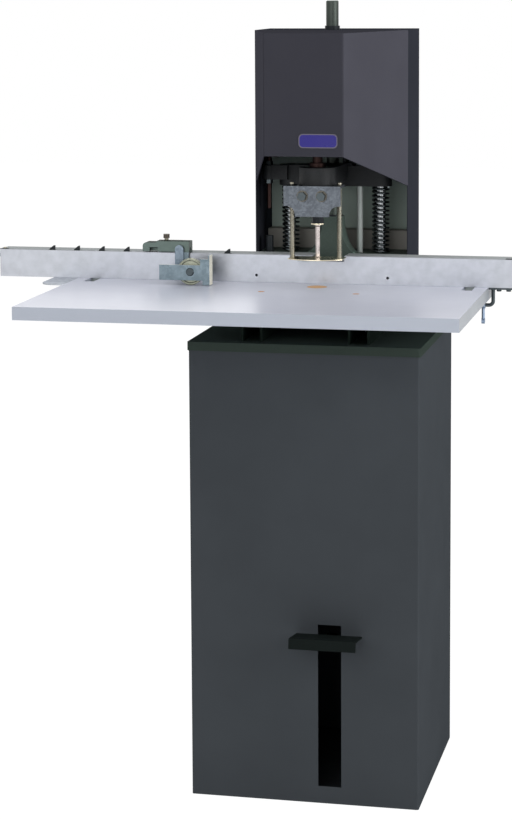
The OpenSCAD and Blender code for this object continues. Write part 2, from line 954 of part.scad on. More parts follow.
// Hollow drill with a sharpened mouth and a thick shank
module drill_bit() {
    r = drill_d / 2;
    bore = r - drill_wall;
    color("#d5d2cd")
        translate([0, drill_y, 0])
            rotate_extrude()
                polygon([
                    [bore + 0.2, drill_z], [r, drill_z + 3], [r, chuck_z - 4], [shank_d / 2, chuck_z - 2],
                    [shank_d / 2, chuck_z + 17], [bore, chuck_z + 17], [bore, drill_z + 0.4]]);
}

// Grooved pulley standing on z = 0
module pulley(d, bore) {
    r = d / 2;
    rotate_extrude()
        polygon([
            [bore, 0], [r + 2, 0], [r + 2, 3], [r - 5, 4.4], [r - 5, 13.6], [r + 2, 15],
            [r + 2, 18], [bore, 18]]);
}

module spindle_pulley() {
    color("#85898c")
        translate([0, drill_y, pulley_z])
            pulley(spindle_pulley_d, spindle_d / 2 - 3 + run);
}

module motor_shaft() {
    color("#b4b8bb")
        translate([motor_x, motor_y, 0])
            rod(mshaft_d / 2, motor_z + 20, pulley_z + 19);
}

module motor_pulley() {
    color("#85898c")
        translate([motor_x, motor_y, pulley_z])
            pulley(motor_pulley_d, mshaft_d / 2 + run);
}

module presser_rods() {
    color("#b5ac97")
        both(prod_x)
            translate([0, prod_y, 0]) {
                rod(prod_d / 2, foot_z + foot_t, plate_top + 4);
                rod(prod_d / 2 + 1, plate_top + run, plate_top + 4);
            }
}

// Thin foot with a bowed front edge and a hole for the drill
module presser_foot() {
    front = prod_y + 32 - foot_d;
    bow = 80;
    color("#d8d3bd")
        translate([0, 0, foot_z])
            linear_extrude(height = foot_t)
                difference() {
                    intersection() {
                        translate([-foot_w / 2, front])
                            square([foot_w, foot_d]);
                        translate([0, front + bow])
                            circle(r = bow, $fn = 128);
                    }
                    translate([0, drill_y])
                        circle(r = drill_d / 2 + 1.6);
                }
}

// Line of the pedal arm, from its pivot to the front
arm_up = swing / 2;
arm_len = (pivot_y - tread_back) / cos(arm_up) + 46;
pin_far = swing_r / cos(arm_up);

// Outline of the pedal arm seen from the side, its pivot at the origin and its front to the left
module arm_outline() {
    difference() {
        union() {
            circle(r = boss_r);
            polygon([
                [0, boss_r], [-40, 16], [-arm_len, 16], [-arm_len, -16], [-60, -16], [0, -boss_r]]);
        }
        circle(d = pivot_d + 2 * run);
        translate([-(pin_far + swing_r) / 2, 0]) {
            square([pin_far - swing_r + 1, pin_d + 0.8], center = true);
            for (s = [-1, 1])
                translate([s * (pin_far - swing_r + 1) / 2, 0])
                    circle(d = pin_d + 0.8);
        }
    }
}

// Open channel that swings on the shaft and passes through the slot
module pedal_arm() {
    tread_under = tread_z - tread_t;
    color("#2b2f31")
        difference() {
            translate([pedal_x, pivot_y, pivot_z])
                rotate([-arm_up, 0, 0])
                    difference() {
                        side_plate(-arm_w / 2, arm_w / 2)
                            arm_outline();
                        side_plate(-arm_w / 2 + arm_t, arm_w / 2 - arm_t)
                            polygon([
                                [-boss_r - 6, 40], [-arm_len + 4, 40], [-arm_len + 4, -16 + arm_t],
                                [-62, -16 + arm_t], [-boss_r - 6, -boss_r + 1]]);
                    }
            side_plate(0, 2 * pedal_x)
                polygon([
                    [tread_back + 40, tread_under - 40 * tan(tread_tilt) - 0.05],
                    [tread_back - 100, tread_under + 100 * tan(tread_tilt) - 0.05],
                    [tread_back - 100, ped_h], [tread_back + 40, ped_h]]);
        }
}

// Tread plate with its folded front edge
module pedal_tread() {
    color("#262b2a")
        translate([pedal_x, tread_back, tread_z])
            rotate([-tread_tilt, 0, 0]) {
                block([-tread_w / 2, -tread_d, -tread_t], [tread_w / 2, 0, 0]);
                block([-tread_w / 2, -tread_d, -tread_lip], [tread_w / 2, -tread_d + tread_t, -tread_t + 0.5]);
            }
}

// Hollow aluminium section with a groove for the stop fingers and a notch at the drill
module fence() {
    w = fence_wall;
    color("#c0c3c8")
        difference() {
            block([fence_left, fence_y, table_z], [fence_right, fence_y + fence_d, fence_top]);
            block(
                [fence_left - 1, fence_y + w, table_z + w],
                [fence_right + 1, fence_y + fence_d - w, fence_top - w - 5]);
            block(
                [fence_left - 1, lane_y - lane_w / 2, fence_top - 5],
                [fence_right + 1, lane_y + lane_w / 2, fence_top + 1]);
            block([-notch_left, fence_y - 1, fence_top - notch_h], [notch_right, fence_y + fence_d + 1, fence_top + 1]);
            for (x = [-126.5, 126.5])
                translate([x, fence_y - 1, table_z + 13.5])
                    rotate([-90, 0, 0])
                        cylinder(r = 2.5, h = w + 2);
        }
}

// Two blocks under the fence that run in the slots of the table and hook under it
module fence_guide_blocks() {
    y0 = fence_y + 9;
    y1 = y0 + 32;
    color("#6b7074")
        for (x = tslot_x) {
            block([x - tslot_w / 2 + gap, y0, table_under - gap - 1], [x + tslot_w / 2 - gap, y1, table_z]);
            block(
                [x - tslot_w / 2 - 5, y0, table_under - 6.3],
                [x + tslot_w / 2 + 5, y1, table_under - gap]);
        }
}

// Flat plate under the fence's left end, beside the table, with a round front corner
module fence_guide_plate() {
    x1 = table_left - gap;
    x0 = x1 - 50;
    y0 = fence_y - 92;
    color("#8a979c")
        translate([0, 0, table_z - 3])
            linear_extrude(height = 3) {
                translate([x0 + 25, y0])
                    square([x1 - x0 - 25, 30]);
                translate([x0, y0 + 25])
                    square([x1 - x0, fence_y + 44 - y0 - 25]);
                translate([x0 + 25, y0 + 25])
                    circle(r = 25, $fn = 64);
            }
}

// Steel strap under the fence's right end, its outer end bent up
module clamp_strap() {
    x0 = table_right + gap;
    x1 = fence_right + 4;
    color("#8d9296")
        difference() {
            union() {
                block([x0, fence_y + 4, table_z - 4], [x1, fence_y + 44, table_z]);
                block([fence_right + gap, fence_y + 4, table_z - 4], [x1, fence_y + 44, table_z + 6]);
            }
            strap_places()
                hole(3.2, table_z - 4, table_z);
            translate([clamp_x, fence_y + 24, 0])
                hole(3.6, table_z - 4, table_z);
        }
}

// Places of the two bolts in the strap
module strap_places() {
    for (x = [fence_right - 28, fence_right - 10])
        translate([x, fence_y + 24, 0])
            children();
}

module strap_bolts() {
    color("#7b7f82")
        strap_places() {
            rod(3, table_z - 4, table_z - 0.05);
            translate([0, 0, table_z - 9.5])
                hex(8, 5.5);
        }
}

// Bent rod that hooks down beside the table and in under it
module clamp_rod() {
    r = 3.5;
    bend = 8;
    z = table_under - 12;
    color("#7b7f82")
        translate([clamp_x, fence_y + 24, 0]) {
            rod(r, z + bend, table_z - 0.05);
            rod(r + 1.5, table_z - 7, table_z - 4);
            translate([-bend, 0, z + bend])
                rotate([90, 0, 0])
                    rotate_extrude(angle = -90)
                        translate([bend, 0])
                            circle(r = r);
            translate([-bend - 24, 0, z])
                rotate([0, 90, 0])
                    cylinder(r = r, h = 24);
        }
}

// Bail with a round eye that hangs on the bent rod
module clamp_lever() {
    x = table_right - 12;
    y = fence_y + 24;
    z = table_under - 12;
    color("#6f8bb0")
        translate([x, y, z])
            difference() {
                union() {
                    rotate([0, 90, 0])
                        cylinder(r = 6.5, h = 8, center = true);
                    rod(3, -26, -4);
                    translate([0, 0, -30])
                        rotate([0, 90, 0])
                            cylinder(r = 5.5, h = 6, center = true);
                }
                rotate([0, 90, 0])
                    cylinder(r = 3.5 + run, h = 20, center = true);
                translate([0, 0, -30])
                    rotate([0, 90, 0])
                        cylinder(r = 2.6, h = 20, center = true);
            }
}

// Side guide: its left and right ends, and the carriage on the fence
guide_right = -guide_x;
guide_left = guide_right - guide_w;
car_right = guide_right - 57;
car_left = car_right - car_l;
car_y0 = fence_y - 4;
car_y1 = fence_y + 24;
car_seat = fence_top + gap;
reach_y = fence_y - guide_reach;
wheel_x = guide_right - 38;
wheel_z = table_z + 0.5 + wheel_d / 2;
wheel_y = reach_y + 2.5 + 1;
lever_x = guide_right - 75;
screw_x = car_left + 42;

// Block that slides on the fence, with a nose, a window in its front and a tunnel over the fingers
module stop_carriage() {
    nose = 27;
    color("#5a665f")
        difference() {
            union() {
                block([car_left + nose, car_y0, car_seat + 2], [car_right, car_y1, car_seat + car_h]);
                block([car_left + nose, lane_y, car_seat], [car_right, car_y1, car_seat + 3]);
                front_plate(car_y0, car_y1)
                    difference() {
                        translate([car_left, car_seat + 2])
                            square([nose, car_h - 5]);
                        translate([car_left, car_seat + car_h - 3])
                            difference() {
                                translate([-1, -7])
                                    square([8, 8]);
                                translate([7, -7])
                                    circle(r = 7);
                            }
                    }
            }
            block([car_left + 14, car_y0 - 1, car_seat - 1], [car_left + 30, lane_y, car_seat + 10]);
            block([car_left - 1, lane_y - 4, car_seat], [car_right + 1, lane_y + 4, car_seat + finger_h + 1.5]);
            translate([screw_x, fence_y + 18, 0])
                hole(2.5 + run, car_seat, car_seat + car_h);
        }
}

// Folded sheet: flange on the fence, hanging wall, web, front plate and side guide
module guide_bracket() {
    t = 2.5;
    wall_x = lever_x - 9;
    low = table_z + 1;
    front_z = table_z + 10;
    front_top = front_z + guide_h;
    color("#7a8a92")
        difference() {
            union() {
                block([wall_x, car_y0 - 1, car_seat], [car_right, lane_y - 4, car_seat + 2]);
                block([wall_x, car_y0 - t, front_z + 2], [car_right, car_y0, car_seat + 2]);
                block([wall_x, reach_y, front_z + 2], [wall_x + t, car_y0, front_z + 17]);
                block([guide_left, reach_y, front_z], [guide_right, reach_y + t, front_top]);
                block([guide_right - 18, reach_y, front_z], [guide_right, reach_y + t, front_top + 12]);
                block([guide_right - 14, reach_y, low], [guide_right, reach_y + t, front_z + 1]);
                block([guide_right - t, reach_y, low], [guide_right, reach_y + guide_side, low + 57]);
            }
            translate([wheel_x, reach_y - 1, wheel_z])
                rotate([-90, 0, 0])
                    cylinder(r = 3 + run, h = t + 2);
            translate([lever_x, car_y0 - t - 1, table_z + 35])
                rotate([-90, 0, 0])
                    cylinder(r = 2 + run, h = t + 2);
        }
}

module wheel_axle() {
    color("#8f8a7c")
        translate([wheel_x, reach_y, wheel_z])
            rotate([-90, 0, 0]) {
                cylinder(r = 3, h = wheel_w + 8.5);
                translate([0, 0, -2.5])
                    cylinder(r1 = 6.5, r2 = 8, h = 2.5);
                translate([0, 0, wheel_w + 4.5])
                    hex(10, 4);
            }
}

// Wheel with a raised rim and hub
module guide_wheel() {
    r = wheel_d / 2;
    color("#9aa38a")
        translate([wheel_x, wheel_y, wheel_z])
            rotate([-90, 0, 0])
                rotate_extrude()
                    polygon([
                        [3 + run, 0], [9, 0], [10, 2], [r - 5, 2], [r - 4, 0], [r - 0.8, 0], [r, 0.8],
                        [r, wheel_w - 0.8], [r - 0.8, wheel_w], [r - 4, wheel_w], [r - 5, wheel_w - 2],
                        [10, wheel_w - 2], [9, wheel_w], [3 + run, wheel_w]]);
}

module thumb_screw() {
    top = car_seat + car_h;
    color("#a8925c")
        translate([screw_x, fence_y + 18, 0]) {
            rod(2.5, fence_top + gap, top + 3);
            rod(4, top + gap, top + 4);
            difference() {
                rod(6, top + 4, top + 12);
                for (a = [0 : 30 : 330])
                    rotate([0, 0, a])
                        translate([6.3, 0, 0])
                            hole(0.8, top + 4, top + 12);
            }
        }
}

// Upright lever with a round top, pinned to the guide's wall
module trip_lever() {
    w = 17;
    z0 = table_z + 30;
    z1 = table_z + 69;
    y1 = car_y0 - 2.5 - gap;
    color("#7d8a9c") {
        front_plate(y1 - 3, y1) {
            translate([lever_x, z1 - w / 2])
                circle(d = w);
            translate([lever_x - w / 2, z0])
                square([w, z1 - w / 2 - z0]);
        }
        translate([lever_x, y1 - 4.5, z0 + 5])
            rotate([-90, 0, 0]) {
                cylinder(r = 3.5, h = 1.5);
                cylinder(r = 2, h = 4.5 + gap + 2.5);
            }
    }
}

// Ratchet-shaped stop with a foot in the fence's groove
module stop_finger(x) {
    foot_w = lane_w - 2 * gap;
    color("#33383a")
        front_plate(lane_y - foot_w / 2, lane_y + foot_w / 2)
            polygon([
                [x - finger_l / 2, fence_top - 4.5], [x + finger_l / 2, fence_top - 4.5],
                [x + finger_l / 2, fence_top + finger_h], [x + finger_l / 2 - 2.5, fence_top + finger_h],
                [x - finger_l / 2, fence_top + 2]]);
}

// Places of the five fingers, four in a row and one on the far side of the carriage
finger_x = [for (k = [7, 6, 5, 4, 0]) guide_right + 16 - finger_step * k];

echo(return_spring_gap = coil_gap(rspring_d, rspring_wire, rspring_n, bed_top, beam_z));
echo(presser_spring_gap = coil_gap(pspring_d, pspring_wire, pspring_n, foot_z + foot_t, plate_top - plate_t));

base_plate();
pedestal();
rear_panel();
pedestal_lid();
pedal_brackets();
pedal_shaft();
base_casting();
table_brackets();
table_board();
table_screws();
screw_plugs();
drilling_block();
rear_housing();
housing_screws();
head_cover();
ram_bushings();
guide_posts();
return_springs();
depth_stop_post();
head_casting();
ram();
pull_rod();
lock_nuts();
rod_pin();
spindle_bearings();
presser_bracket();
bracket_bolts();
depth_screw();
motor();
motor_mount();
drive_belt();
presser_springs();
spindle();
chuck();
drill_bit();
spindle_pulley();
motor_shaft();
motor_pulley();
presser_rods();
presser_foot();
pedal_arm();
pedal_tread();
fence();
fence_guide_blocks();
fence_guide_plate();
clamp_strap();
strap_bolts();
clamp_rod();
clamp_lever();
stop_carriage();
guide_bracket();
wheel_axle();
guide_wheel();
thumb_screw();
trip_lever();
stop_finger(finger_x[0]);  // stop_finger_1
stop_finger(finger_x[1]);  // stop_finger_2
stop_finger(finger_x[2]);  // stop_finger_3
stop_finger(finger_x[3]);  // stop_finger_4
stop_finger(finger_x[4]);  // stop_finger_5
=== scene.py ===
import json
import math

import bmesh
import bpy
from mathutils import Matrix, Vector


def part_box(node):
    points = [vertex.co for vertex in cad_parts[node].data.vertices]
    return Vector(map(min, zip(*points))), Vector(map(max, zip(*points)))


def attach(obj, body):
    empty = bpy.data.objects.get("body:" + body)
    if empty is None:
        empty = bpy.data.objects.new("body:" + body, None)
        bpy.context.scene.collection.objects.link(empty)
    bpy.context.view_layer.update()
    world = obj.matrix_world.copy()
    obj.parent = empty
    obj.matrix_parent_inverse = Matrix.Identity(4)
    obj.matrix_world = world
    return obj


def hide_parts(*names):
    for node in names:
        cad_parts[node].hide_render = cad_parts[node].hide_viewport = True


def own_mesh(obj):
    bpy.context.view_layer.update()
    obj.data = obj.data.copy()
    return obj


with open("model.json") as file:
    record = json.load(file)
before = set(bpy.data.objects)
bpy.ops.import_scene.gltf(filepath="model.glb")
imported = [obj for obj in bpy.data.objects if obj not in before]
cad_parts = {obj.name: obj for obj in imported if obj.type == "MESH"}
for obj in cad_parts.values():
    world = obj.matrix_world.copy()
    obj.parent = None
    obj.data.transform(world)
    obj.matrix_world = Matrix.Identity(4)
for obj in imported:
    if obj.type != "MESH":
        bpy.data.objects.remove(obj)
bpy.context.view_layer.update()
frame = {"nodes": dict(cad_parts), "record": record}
MM = 0.001


# Camera

def make_camera():
    """Camera at the photograph's angle, a little to the right and above"""
    cam = bpy.data.objects.new("camera", bpy.data.cameras.new("camera"))
    bpy.context.scene.collection.objects.link(cam)
    cam.data.lens = 101.08
    cam.data.sensor_width = 36
    cam.data.shift_y = -0.22
    cam.data.clip_end = 100
    yaw, tilt, roll = math.radians(12.741), math.radians(6.233), math.radians(-0.316)
    cam.matrix_world = (
        Matrix.Translation((0.83337, -4.27663, 1.52636))
        @ Matrix.Rotation(yaw, 4, "Z")
        @ Matrix.Rotation(math.pi / 2 - tilt, 4, "X")
        @ Matrix.Rotation(roll, 4, "Z"))
    bpy.context.scene.camera = cam


make_camera()


# Node helpers

def colour(text):
    """Linear colour from an sRGB hex code"""
    parts = [int(text[i:i + 2], 16) / 255 for i in (1, 3, 5)]
    return [c / 12.92 if c <= 0.04045 else ((c + 0.055) / 1.055) ** 2.4 for c in parts] + [1.0]


def add(tree, kind, sockets=None, **props):
    """Adds a shader node, sets its properties, and sets or links its inputs"""
    node = tree.nodes.new("ShaderNode" + kind)
    for name, value in props.items():
        setattr(node, name, value)
    for name, value in (sockets or {}).items():
        if isinstance(value, bpy.types.NodeSocket):
            tree.links.new(value, node.inputs[name])
        else:
            node.inputs[name].default_value = value
    return node


def place(tree, stretch=(1, 1, 1)):
    """Object coordinates in metres, stretched along the axes whose value is below 1"""
    where = add(tree, "TexCoord").outputs["Object"]
    return add(tree, "Mapping", {"Vector": where, "Scale": stretch}).outputs["Vector"]


def noise(tree, where, size_mm, detail=2.0, rough=0.5):
    """Cloudy pattern whose blotches are about size_mm across"""
    return add(tree, "TexNoise", {
        "Vector": where, "Scale": 1 / (size_mm * MM), "Detail": detail, "Roughness": rough}).outputs["Fac"]


def span(tree, value, low, high, start=0.3, end=0.7):
    """Turns start to end of a pattern into low to high"""
    return add(tree, "MapRange", {
        "Value": value, "From Min": start, "From Max": end, "To Min": low, "To Max": high}).outputs["Result"]


def mix(tree, factor, first, second):
    """Blend of two colours, each a value or a socket"""
    node = add(tree, "Mix", data_type="RGBA", blend_type="MIX")
    for socket, value in ((node.inputs[0], factor), (node.inputs[6], first), (node.inputs[7], second)):
        if isinstance(value, bpy.types.NodeSocket):
            tree.links.new(value, socket)
        else:
            socket.default_value = value
    return node.outputs[2]


def shade(text, share):
    """A hex colour made darker or lighter by a share of itself"""
    return [min(1.0, c * (1 + share)) for c in colour(text)[:3]] + [1.0]


def edge_mask(tree, radius_mm):
    """Near 1 along sharp edges and 0 on flat faces"""
    rounded = add(tree, "Bevel", {"Radius": radius_mm * MM}, samples=4).outputs["Normal"]
    flat = add(tree, "NewGeometry").outputs["Normal"]
    dot = add(tree, "VectorMath", {0: rounded, 1: flat}, operation="DOT_PRODUCT").outputs["Value"]
    return span(tree, dot, 1, 0, 0.80, 0.985)


def finish_material(tree, height, bump_mm, values):
    """Bump and the surface shader"""
    bump = add(tree, "Bump", {"Height": height, "Distance": bump_mm * MM, "Strength": 1.0})
    shader = add(tree, "BsdfPrincipled", {**values, "Normal": bump.outputs["Normal"]})
    add(tree, "OutputMaterial", {"Surface": shader.outputs[0]})


def new_material(name, view_colour):
    """Empty node material with its colour for the plain view"""
    mat = bpy.data.materials.new(name)
    mat.use_nodes = True
    mat.node_tree.nodes.clear()
    mat.diffuse_color = colour(view_colour)
    return mat, mat.node_tree


def paint(name, base, rough=0.45, peel_mm=1.4, bump_mm=0.03, edge=0.35, dust=0.06, metallic=0.0, sheen=0.25):
    """Baked paint on steel: orange peel, slow shade drift, edges rubbed a little lighter"""
    mat, tree = new_material(name, base)
    where = place(tree)
    mask = edge_mask(tree, 0.8)
    drift = span(tree, noise(tree, where, 140, 3), 0, 1)
    speck = span(tree, noise(tree, where, 0.9, 1), 0, 1, 0.4, 0.6)
    tint = mix(tree, drift, shade(base, -dust), shade(base, dust))
    tint = mix(tree, span(tree, speck, 0, 0.10, 0, 1), tint, shade(base, 0.35))
    tint = mix(tree, span(tree, mask, 0, edge, 0, 1), tint, shade(base, 0.8))
    gloss = span(tree, noise(tree, where, 45, 3), rough - 0.04, rough + 0.05)
    finish_material(tree, noise(tree, where, peel_mm, 1), bump_mm, {
        "Base Color": tint, "Roughness": gloss, "Metallic": metallic, "IOR": 1.5,
        "Specular IOR Level": sheen})
    return mat


def cast(name, base, rough=0.55):
    """Enamel over a sand casting: fine pitted skin and darker hollows"""
    mat, tree = new_material(name, base)
    where = place(tree)
    mask = edge_mask(tree, 1.5)
    grain = noise(tree, where, 2.2, 4, 0.65)
    tint = mix(tree, span(tree, grain, 0, 1), shade(base, -0.22), shade(base, 0.15))
    tint = mix(tree, span(tree, mask, 0, 0.4, 0, 1), tint, shade(base, 0.9))
    finish_material(tree, grain, 0.22, {
        "Base Color": tint, "Roughness": span(tree, grain, rough + 0.08, rough - 0.08), "IOR": 1.5,
        "Specular IOR Level": 0.3})
    return mat


def metal(
        name, base, rough=0.3, stretch=(1, 1, 1), line_mm=0.5, depth_mm=0.006,
        stain=0.12, edge=0.3, spread=0.08):
    """Bare metal with machining or brushing lines along the axes where stretch is small"""
    mat, tree = new_material(name, base)
    where = place(tree)
    mask = edge_mask(tree, 0.4)
    lines = noise(tree, place(tree, stretch), line_mm, 3, 0.6)
    cloud = noise(tree, where, 18, 3)
    tint = mix(tree, span(tree, cloud, 0, 1), shade(base, -stain), shade(base, stain * 0.5))
    tint = mix(tree, span(tree, lines, 0, 0.25, 0.35, 0.65), tint, shade(base, 0.25))
    tint = mix(tree, span(tree, mask, 0, edge, 0, 1), tint, shade(base, 0.5))
    gloss = add(tree, "Math", {
        0: span(tree, lines, rough - spread, rough + spread),
        1: span(tree, cloud, -0.03, 0.05)}, operation="ADD").outputs[0]
    finish_material(tree, lines, depth_mm, {
        "Base Color": tint, "Roughness": gloss, "Metallic": 1.0, "IOR": 2.5})
    return mat


def zinc(name, base, tint_to, rough=0.34, cell_mm=7, strength=0.55):
    """Passivated zinc plate: soft crystal patches that differ in shade, hue and gloss"""
    mat, tree = new_material(name, base)
    where = place(tree)
    mask = edge_mask(tree, 0.4)
    warp = noise(tree, where, cell_mm * 0.8, 3, 0.6)
    cells = add(tree, "TexVoronoi", {
        "Vector": where, "Scale": 1 / (cell_mm * MM), "Randomness": 1.0}).outputs["Color"]
    cell = add(tree, "SeparateColor", {"Color": cells}).outputs[0]
    patch = add(tree, "Math", {0: cell, 1: warp}, operation="MULTIPLY").outputs[0]
    tint = mix(tree, span(tree, patch, 0, strength, 0.05, 0.55), shade(base, -0.10), colour(tint_to))
    tint = mix(tree, span(tree, noise(tree, where, 22, 3), 0, 0.5), tint, shade(base, -0.35))
    # edges lightened: a painted highlight along them
    tint = mix(tree, span(tree, mask, 0, 0.5, 0, 1), tint, shade(base, 0.7))
    gloss = span(tree, patch, rough + 0.10, rough - 0.06, 0.05, 0.55)
    finish_material(tree, warp, 0.02, {
        "Base Color": tint, "Roughness": gloss, "Metallic": 1.0, "IOR": 2.0})
    return mat


def laminate(name, base):
    """Melamine face on a board: faint even speckle under a semi-gloss skin"""
    mat, tree = new_material(name, base)
    where = place(tree)
    mask = edge_mask(tree, 0.8)
    fine = noise(tree, where, 0.8, 2)
    cloud = noise(tree, where, 90, 3)
    tint = mix(tree, span(tree, fine, 0, 1), shade(base, -0.025), shade(base, 0.02))
    tint = mix(tree, span(tree, cloud, 0, 0.35), tint, shade(base, -0.05))
    tint = mix(tree, span(tree, mask, 0, 0.35, 0, 1), tint, shade(base, 0.25))
    finish_material(tree, fine, 0.002, {
        "Base Color": tint, "Roughness": span(tree, cloud, 0.28, 0.34), "IOR": 1.5,
        "Specular IOR Level": 0.2})
    return mat


def moulded(name, base, rough=0.5, grain_mm=0.6, bump_mm=0.02, spread=0.08):
    """Moulded rubber, resin or fibre: fine even grain"""
    mat, tree = new_material(name, base)
    where = place(tree)
    mask = edge_mask(tree, 0.4)
    grain = noise(tree, where, grain_mm, 3)
    tint = mix(tree, span(tree, grain, 0, 1), shade(base, -spread), shade(base, spread))
    tint = mix(tree, span(tree, mask, 0, 0.3, 0, 1), tint, shade(base, 0.5))
    finish_material(tree, grain, bump_mm, {
        "Base Color": tint, "Roughness": span(tree, grain, rough - 0.05, rough + 0.05), "IOR": 1.48})
    return mat


def timber(name, base, dark):
    """End grain of a wood plug: rings and pores"""
    mat, tree = new_material(name, base)
    where = place(tree, (1, 1, 0.2))
    rings = add(tree, "TexWave", {
        "Vector": where, "Scale": 260.0, "Distortion": 3.5, "Detail": 2.0, "Detail Scale": 1.5},
        wave_type="BANDS", bands_direction="X").outputs["Fac"]
    pores = noise(tree, where, 0.7, 2)
    tint = mix(tree, rings, colour(base), colour(dark))
    tint = mix(tree, span(tree, pores, 0, 0.5, 0.5, 0.75), tint, shade(dark, -0.4))
    finish_material(tree, pores, 0.04, {
        "Base Color": tint, "Roughness": span(tree, rings, 0.5, 0.62, 0, 1), "IOR": 1.45})
    return mat


ALONG_X, ALONG_Y, ALONG_Z = (0.02, 1, 1), (1, 0.02, 1), (1, 1, 0.02)
M = {
    "pedestal": paint("pedestal_paint", "#42464a", 0.6, 1.6, 0.035, sheen=0.0),
    # lid: the pedestal's paint darkened as painted shade from the table above
    "lid": paint("lid_paint_with_painted_shade", "#37403b", 0.6, 1.6, 0.035, sheen=0.0),
    "housing": paint("housing_paint", "#33353c", 0.6, 1.3, 0.03, sheen=0.0),
    "cover": paint("cover_paint", "#3c3c43", 0.6, 1.3, 0.03, sheen=0.0),
    # cover sides: the cover's paint made lighter, painted light standing in for light falling on the sides
    "lit_cover_side": paint("cover_paint_with_painted_light", "#4a4a52", 0.6, 1.3, 0.03, sheen=0.0),
    "casting": cast("head_casting_enamel", "#292b2d"),
    "base": cast("base_casting_enamel", "#4a5851", 0.55),
    "pedal": paint("pedal_black_paint", "#171c1b", 0.5, 1.0, 0.03, 0.3, sheen=0.02),
    "laminate": laminate("table_laminate", "#cbcedc"),
    "fence": metal("fence_brushed_aluminium", "#b0b3ba", 0.36, ALONG_X, 0.35, 0.004, 0.13),
    "zinc": zinc("bright_zinc_plate", "#61666d", "#7b8289", 0.40, 3, 0.4),
    "guide_zinc": zinc("guide_zinc_plate", "#7c8c94", "#929fa6", 0.42, 6, 0.45),
    "yellow_zinc": zinc("yellow_zinc_plate", "#909384", "#b2b4a0", 0.36, 5, 0.35),
    "steel": metal("ground_steel", "#a3a7aa", 0.26, ALONG_Z, 0.3),
    "turned": metal("turned_steel", "#9c9893", 0.30, (1, 1, 0.05), 0.3),
    "black_steel": paint("black_oxide_steel", "#23272a", 0.42, 0.8, 0.02, 0.6, 0.1, 0.4),
    "spring": metal("oiled_spring_wire", "#565c5e", 0.28, (1, 1, 1), 1.5, 0.004, 0.2),
    "brass": metal("pale_brass", "#9e9a8c", 0.28, ALONG_Z, 0.3, 0.002),
    "drill": metal("polished_drill_steel", "#c4bbb8", 0.2, ALONG_Z, 0.25, 0.003),
    "spindle": metal("oiled_spindle_steel", "#332624", 0.40, (1, 1, 4), 0.4),
    "dark_steel": metal("blued_bolt_steel", "#4a5154", 0.34, (1, 1, 1), 1.2, 0.006, 0.2),
    "foot_steel": metal("presser_foot_steel", "#e2d9c0", 0.22, ALONG_X, 0.4, 0.003, 0.06),
    # guide faces: near-white diffuse paint, a painted highlight standing in for the reflection these faces
    # catch
    "highlight_face": paint("zinc_painted_highlight", "#f0ecd8", 0.4, 0.6, 0.004, 0.1, 0.03, 0.15, 0.4),
    "badge": paint("badge_blue_enamel", "#231b78", 0.3, 1.0, 0.004, 0.1, 0.04),
    "badge_rim": metal("badge_rim_alloy", "#565360", 0.4, ALONG_X, 0.3, 0.003),
    "washer": paint("dull_washer_steel", "#6a675f", 0.4, 0.6, 0.003, 0.1, 0.03, 0.3, 0.3),
    "carriage": metal("carriage_die_casting", "#64716c", 0.46, (1, 1, 1), 1.4, 0.01, 0.15),
    "lever_zinc": zinc("lever_zinc_plate", "#8fa3bd", "#c2d0e2", 0.34, 6),
    "rod_steel": paint("pull_rod_steel", "#b0b7b4", 0.4, 0.6, 0.003, 0.1, 0.03, 0.25, 0.3),
    "ram": metal("dull_ram_steel", "#474d49", 0.46, ALONG_Z, 0.6),
    "belt": moulded("belt_rubber", "#1b1c1e", 0.6, 0.5),
    "block": moulded("drilling_block_fibre", "#ebbb80", 0.55, 0.9, 0.04, 0.14),
    "plug": timber("plug_wood", "#d9a05c", "#b97a3a"),
    "motor": paint("motor_enamel", "#2d3336", 0.4, 1.2, 0.04),
    # inner back wall: green-grey interior paint, made much lighter as painted light for the shaded interior
    "housing_back": paint("housing_inner_paint_and_painted_light", "#b6c6bd", 0.5, 1.3, 0.03, sheen=0.03),
    # carriage top: a darker matt copy of its colour, painted shade in place of the reflection its top would
    # show
    "shaded_carriage_top": paint("carriage_top_painted_shade", "#3b4540", 0.6, 1.0, 0.01, 0.1, 0.06, sheen=0.02),
    # base front: the base's enamel made lighter, painted light where light falls on its front
    "lit_base_front": cast("base_enamel_painted_light", "#84998f", 0.5),
    # base ledge: its grey-brown tone, made much lighter as painted light for the shaded interior
    "base_ledge": paint("base_ledge_paint_and_painted_light", "#a19f99", 0.6, 1.4, 0.04, sheen=0.02),
    "under": paint("under_table_paint", "#1d2521", 0.6, 1.2, 0.03, 0.12, sheen=0.0),
    # table ends: the laminate darkened as painted shade
    "shaded_table_end": laminate("table_end_painted_shade", "#8b9198"),
    "table_edge": laminate("table_edge_band", "#b4bac6"),
    "plate_zinc": zinc("plain_zinc_plate", "#b4b9c0", "#cfd3d9", 0.36, 9, 0.3),
    "trip_zinc": zinc("trip_lever_plate", "#808e9a", "#97a4b0", 0.38, 5, 0.4),
    "dark_cap": metal("browned_screw_head", "#5b554e", 0.36, (1, 1, 1), 0.8, 0.006, 0.15),
    # notch end face: aluminium much lighter than the fence's own
    "cut_edge": metal("notch_end_light_aluminium", "#e6e6ea", 0.3, ALONG_Z, 0.4, 0.004, 0.04),
    "end_plug": moulded("white_end_plug", "#e9eaec", 0.45, 0.8, 0.01, 0.02),
    # fence top: a darker matt copy of the aluminium, painted shade in place of its reflection
    "fence_top": paint("dull_fence_top", "#a6abac", 0.6, 0.7, 0.004, 0.1, 0.05, sheen=0.03),
}

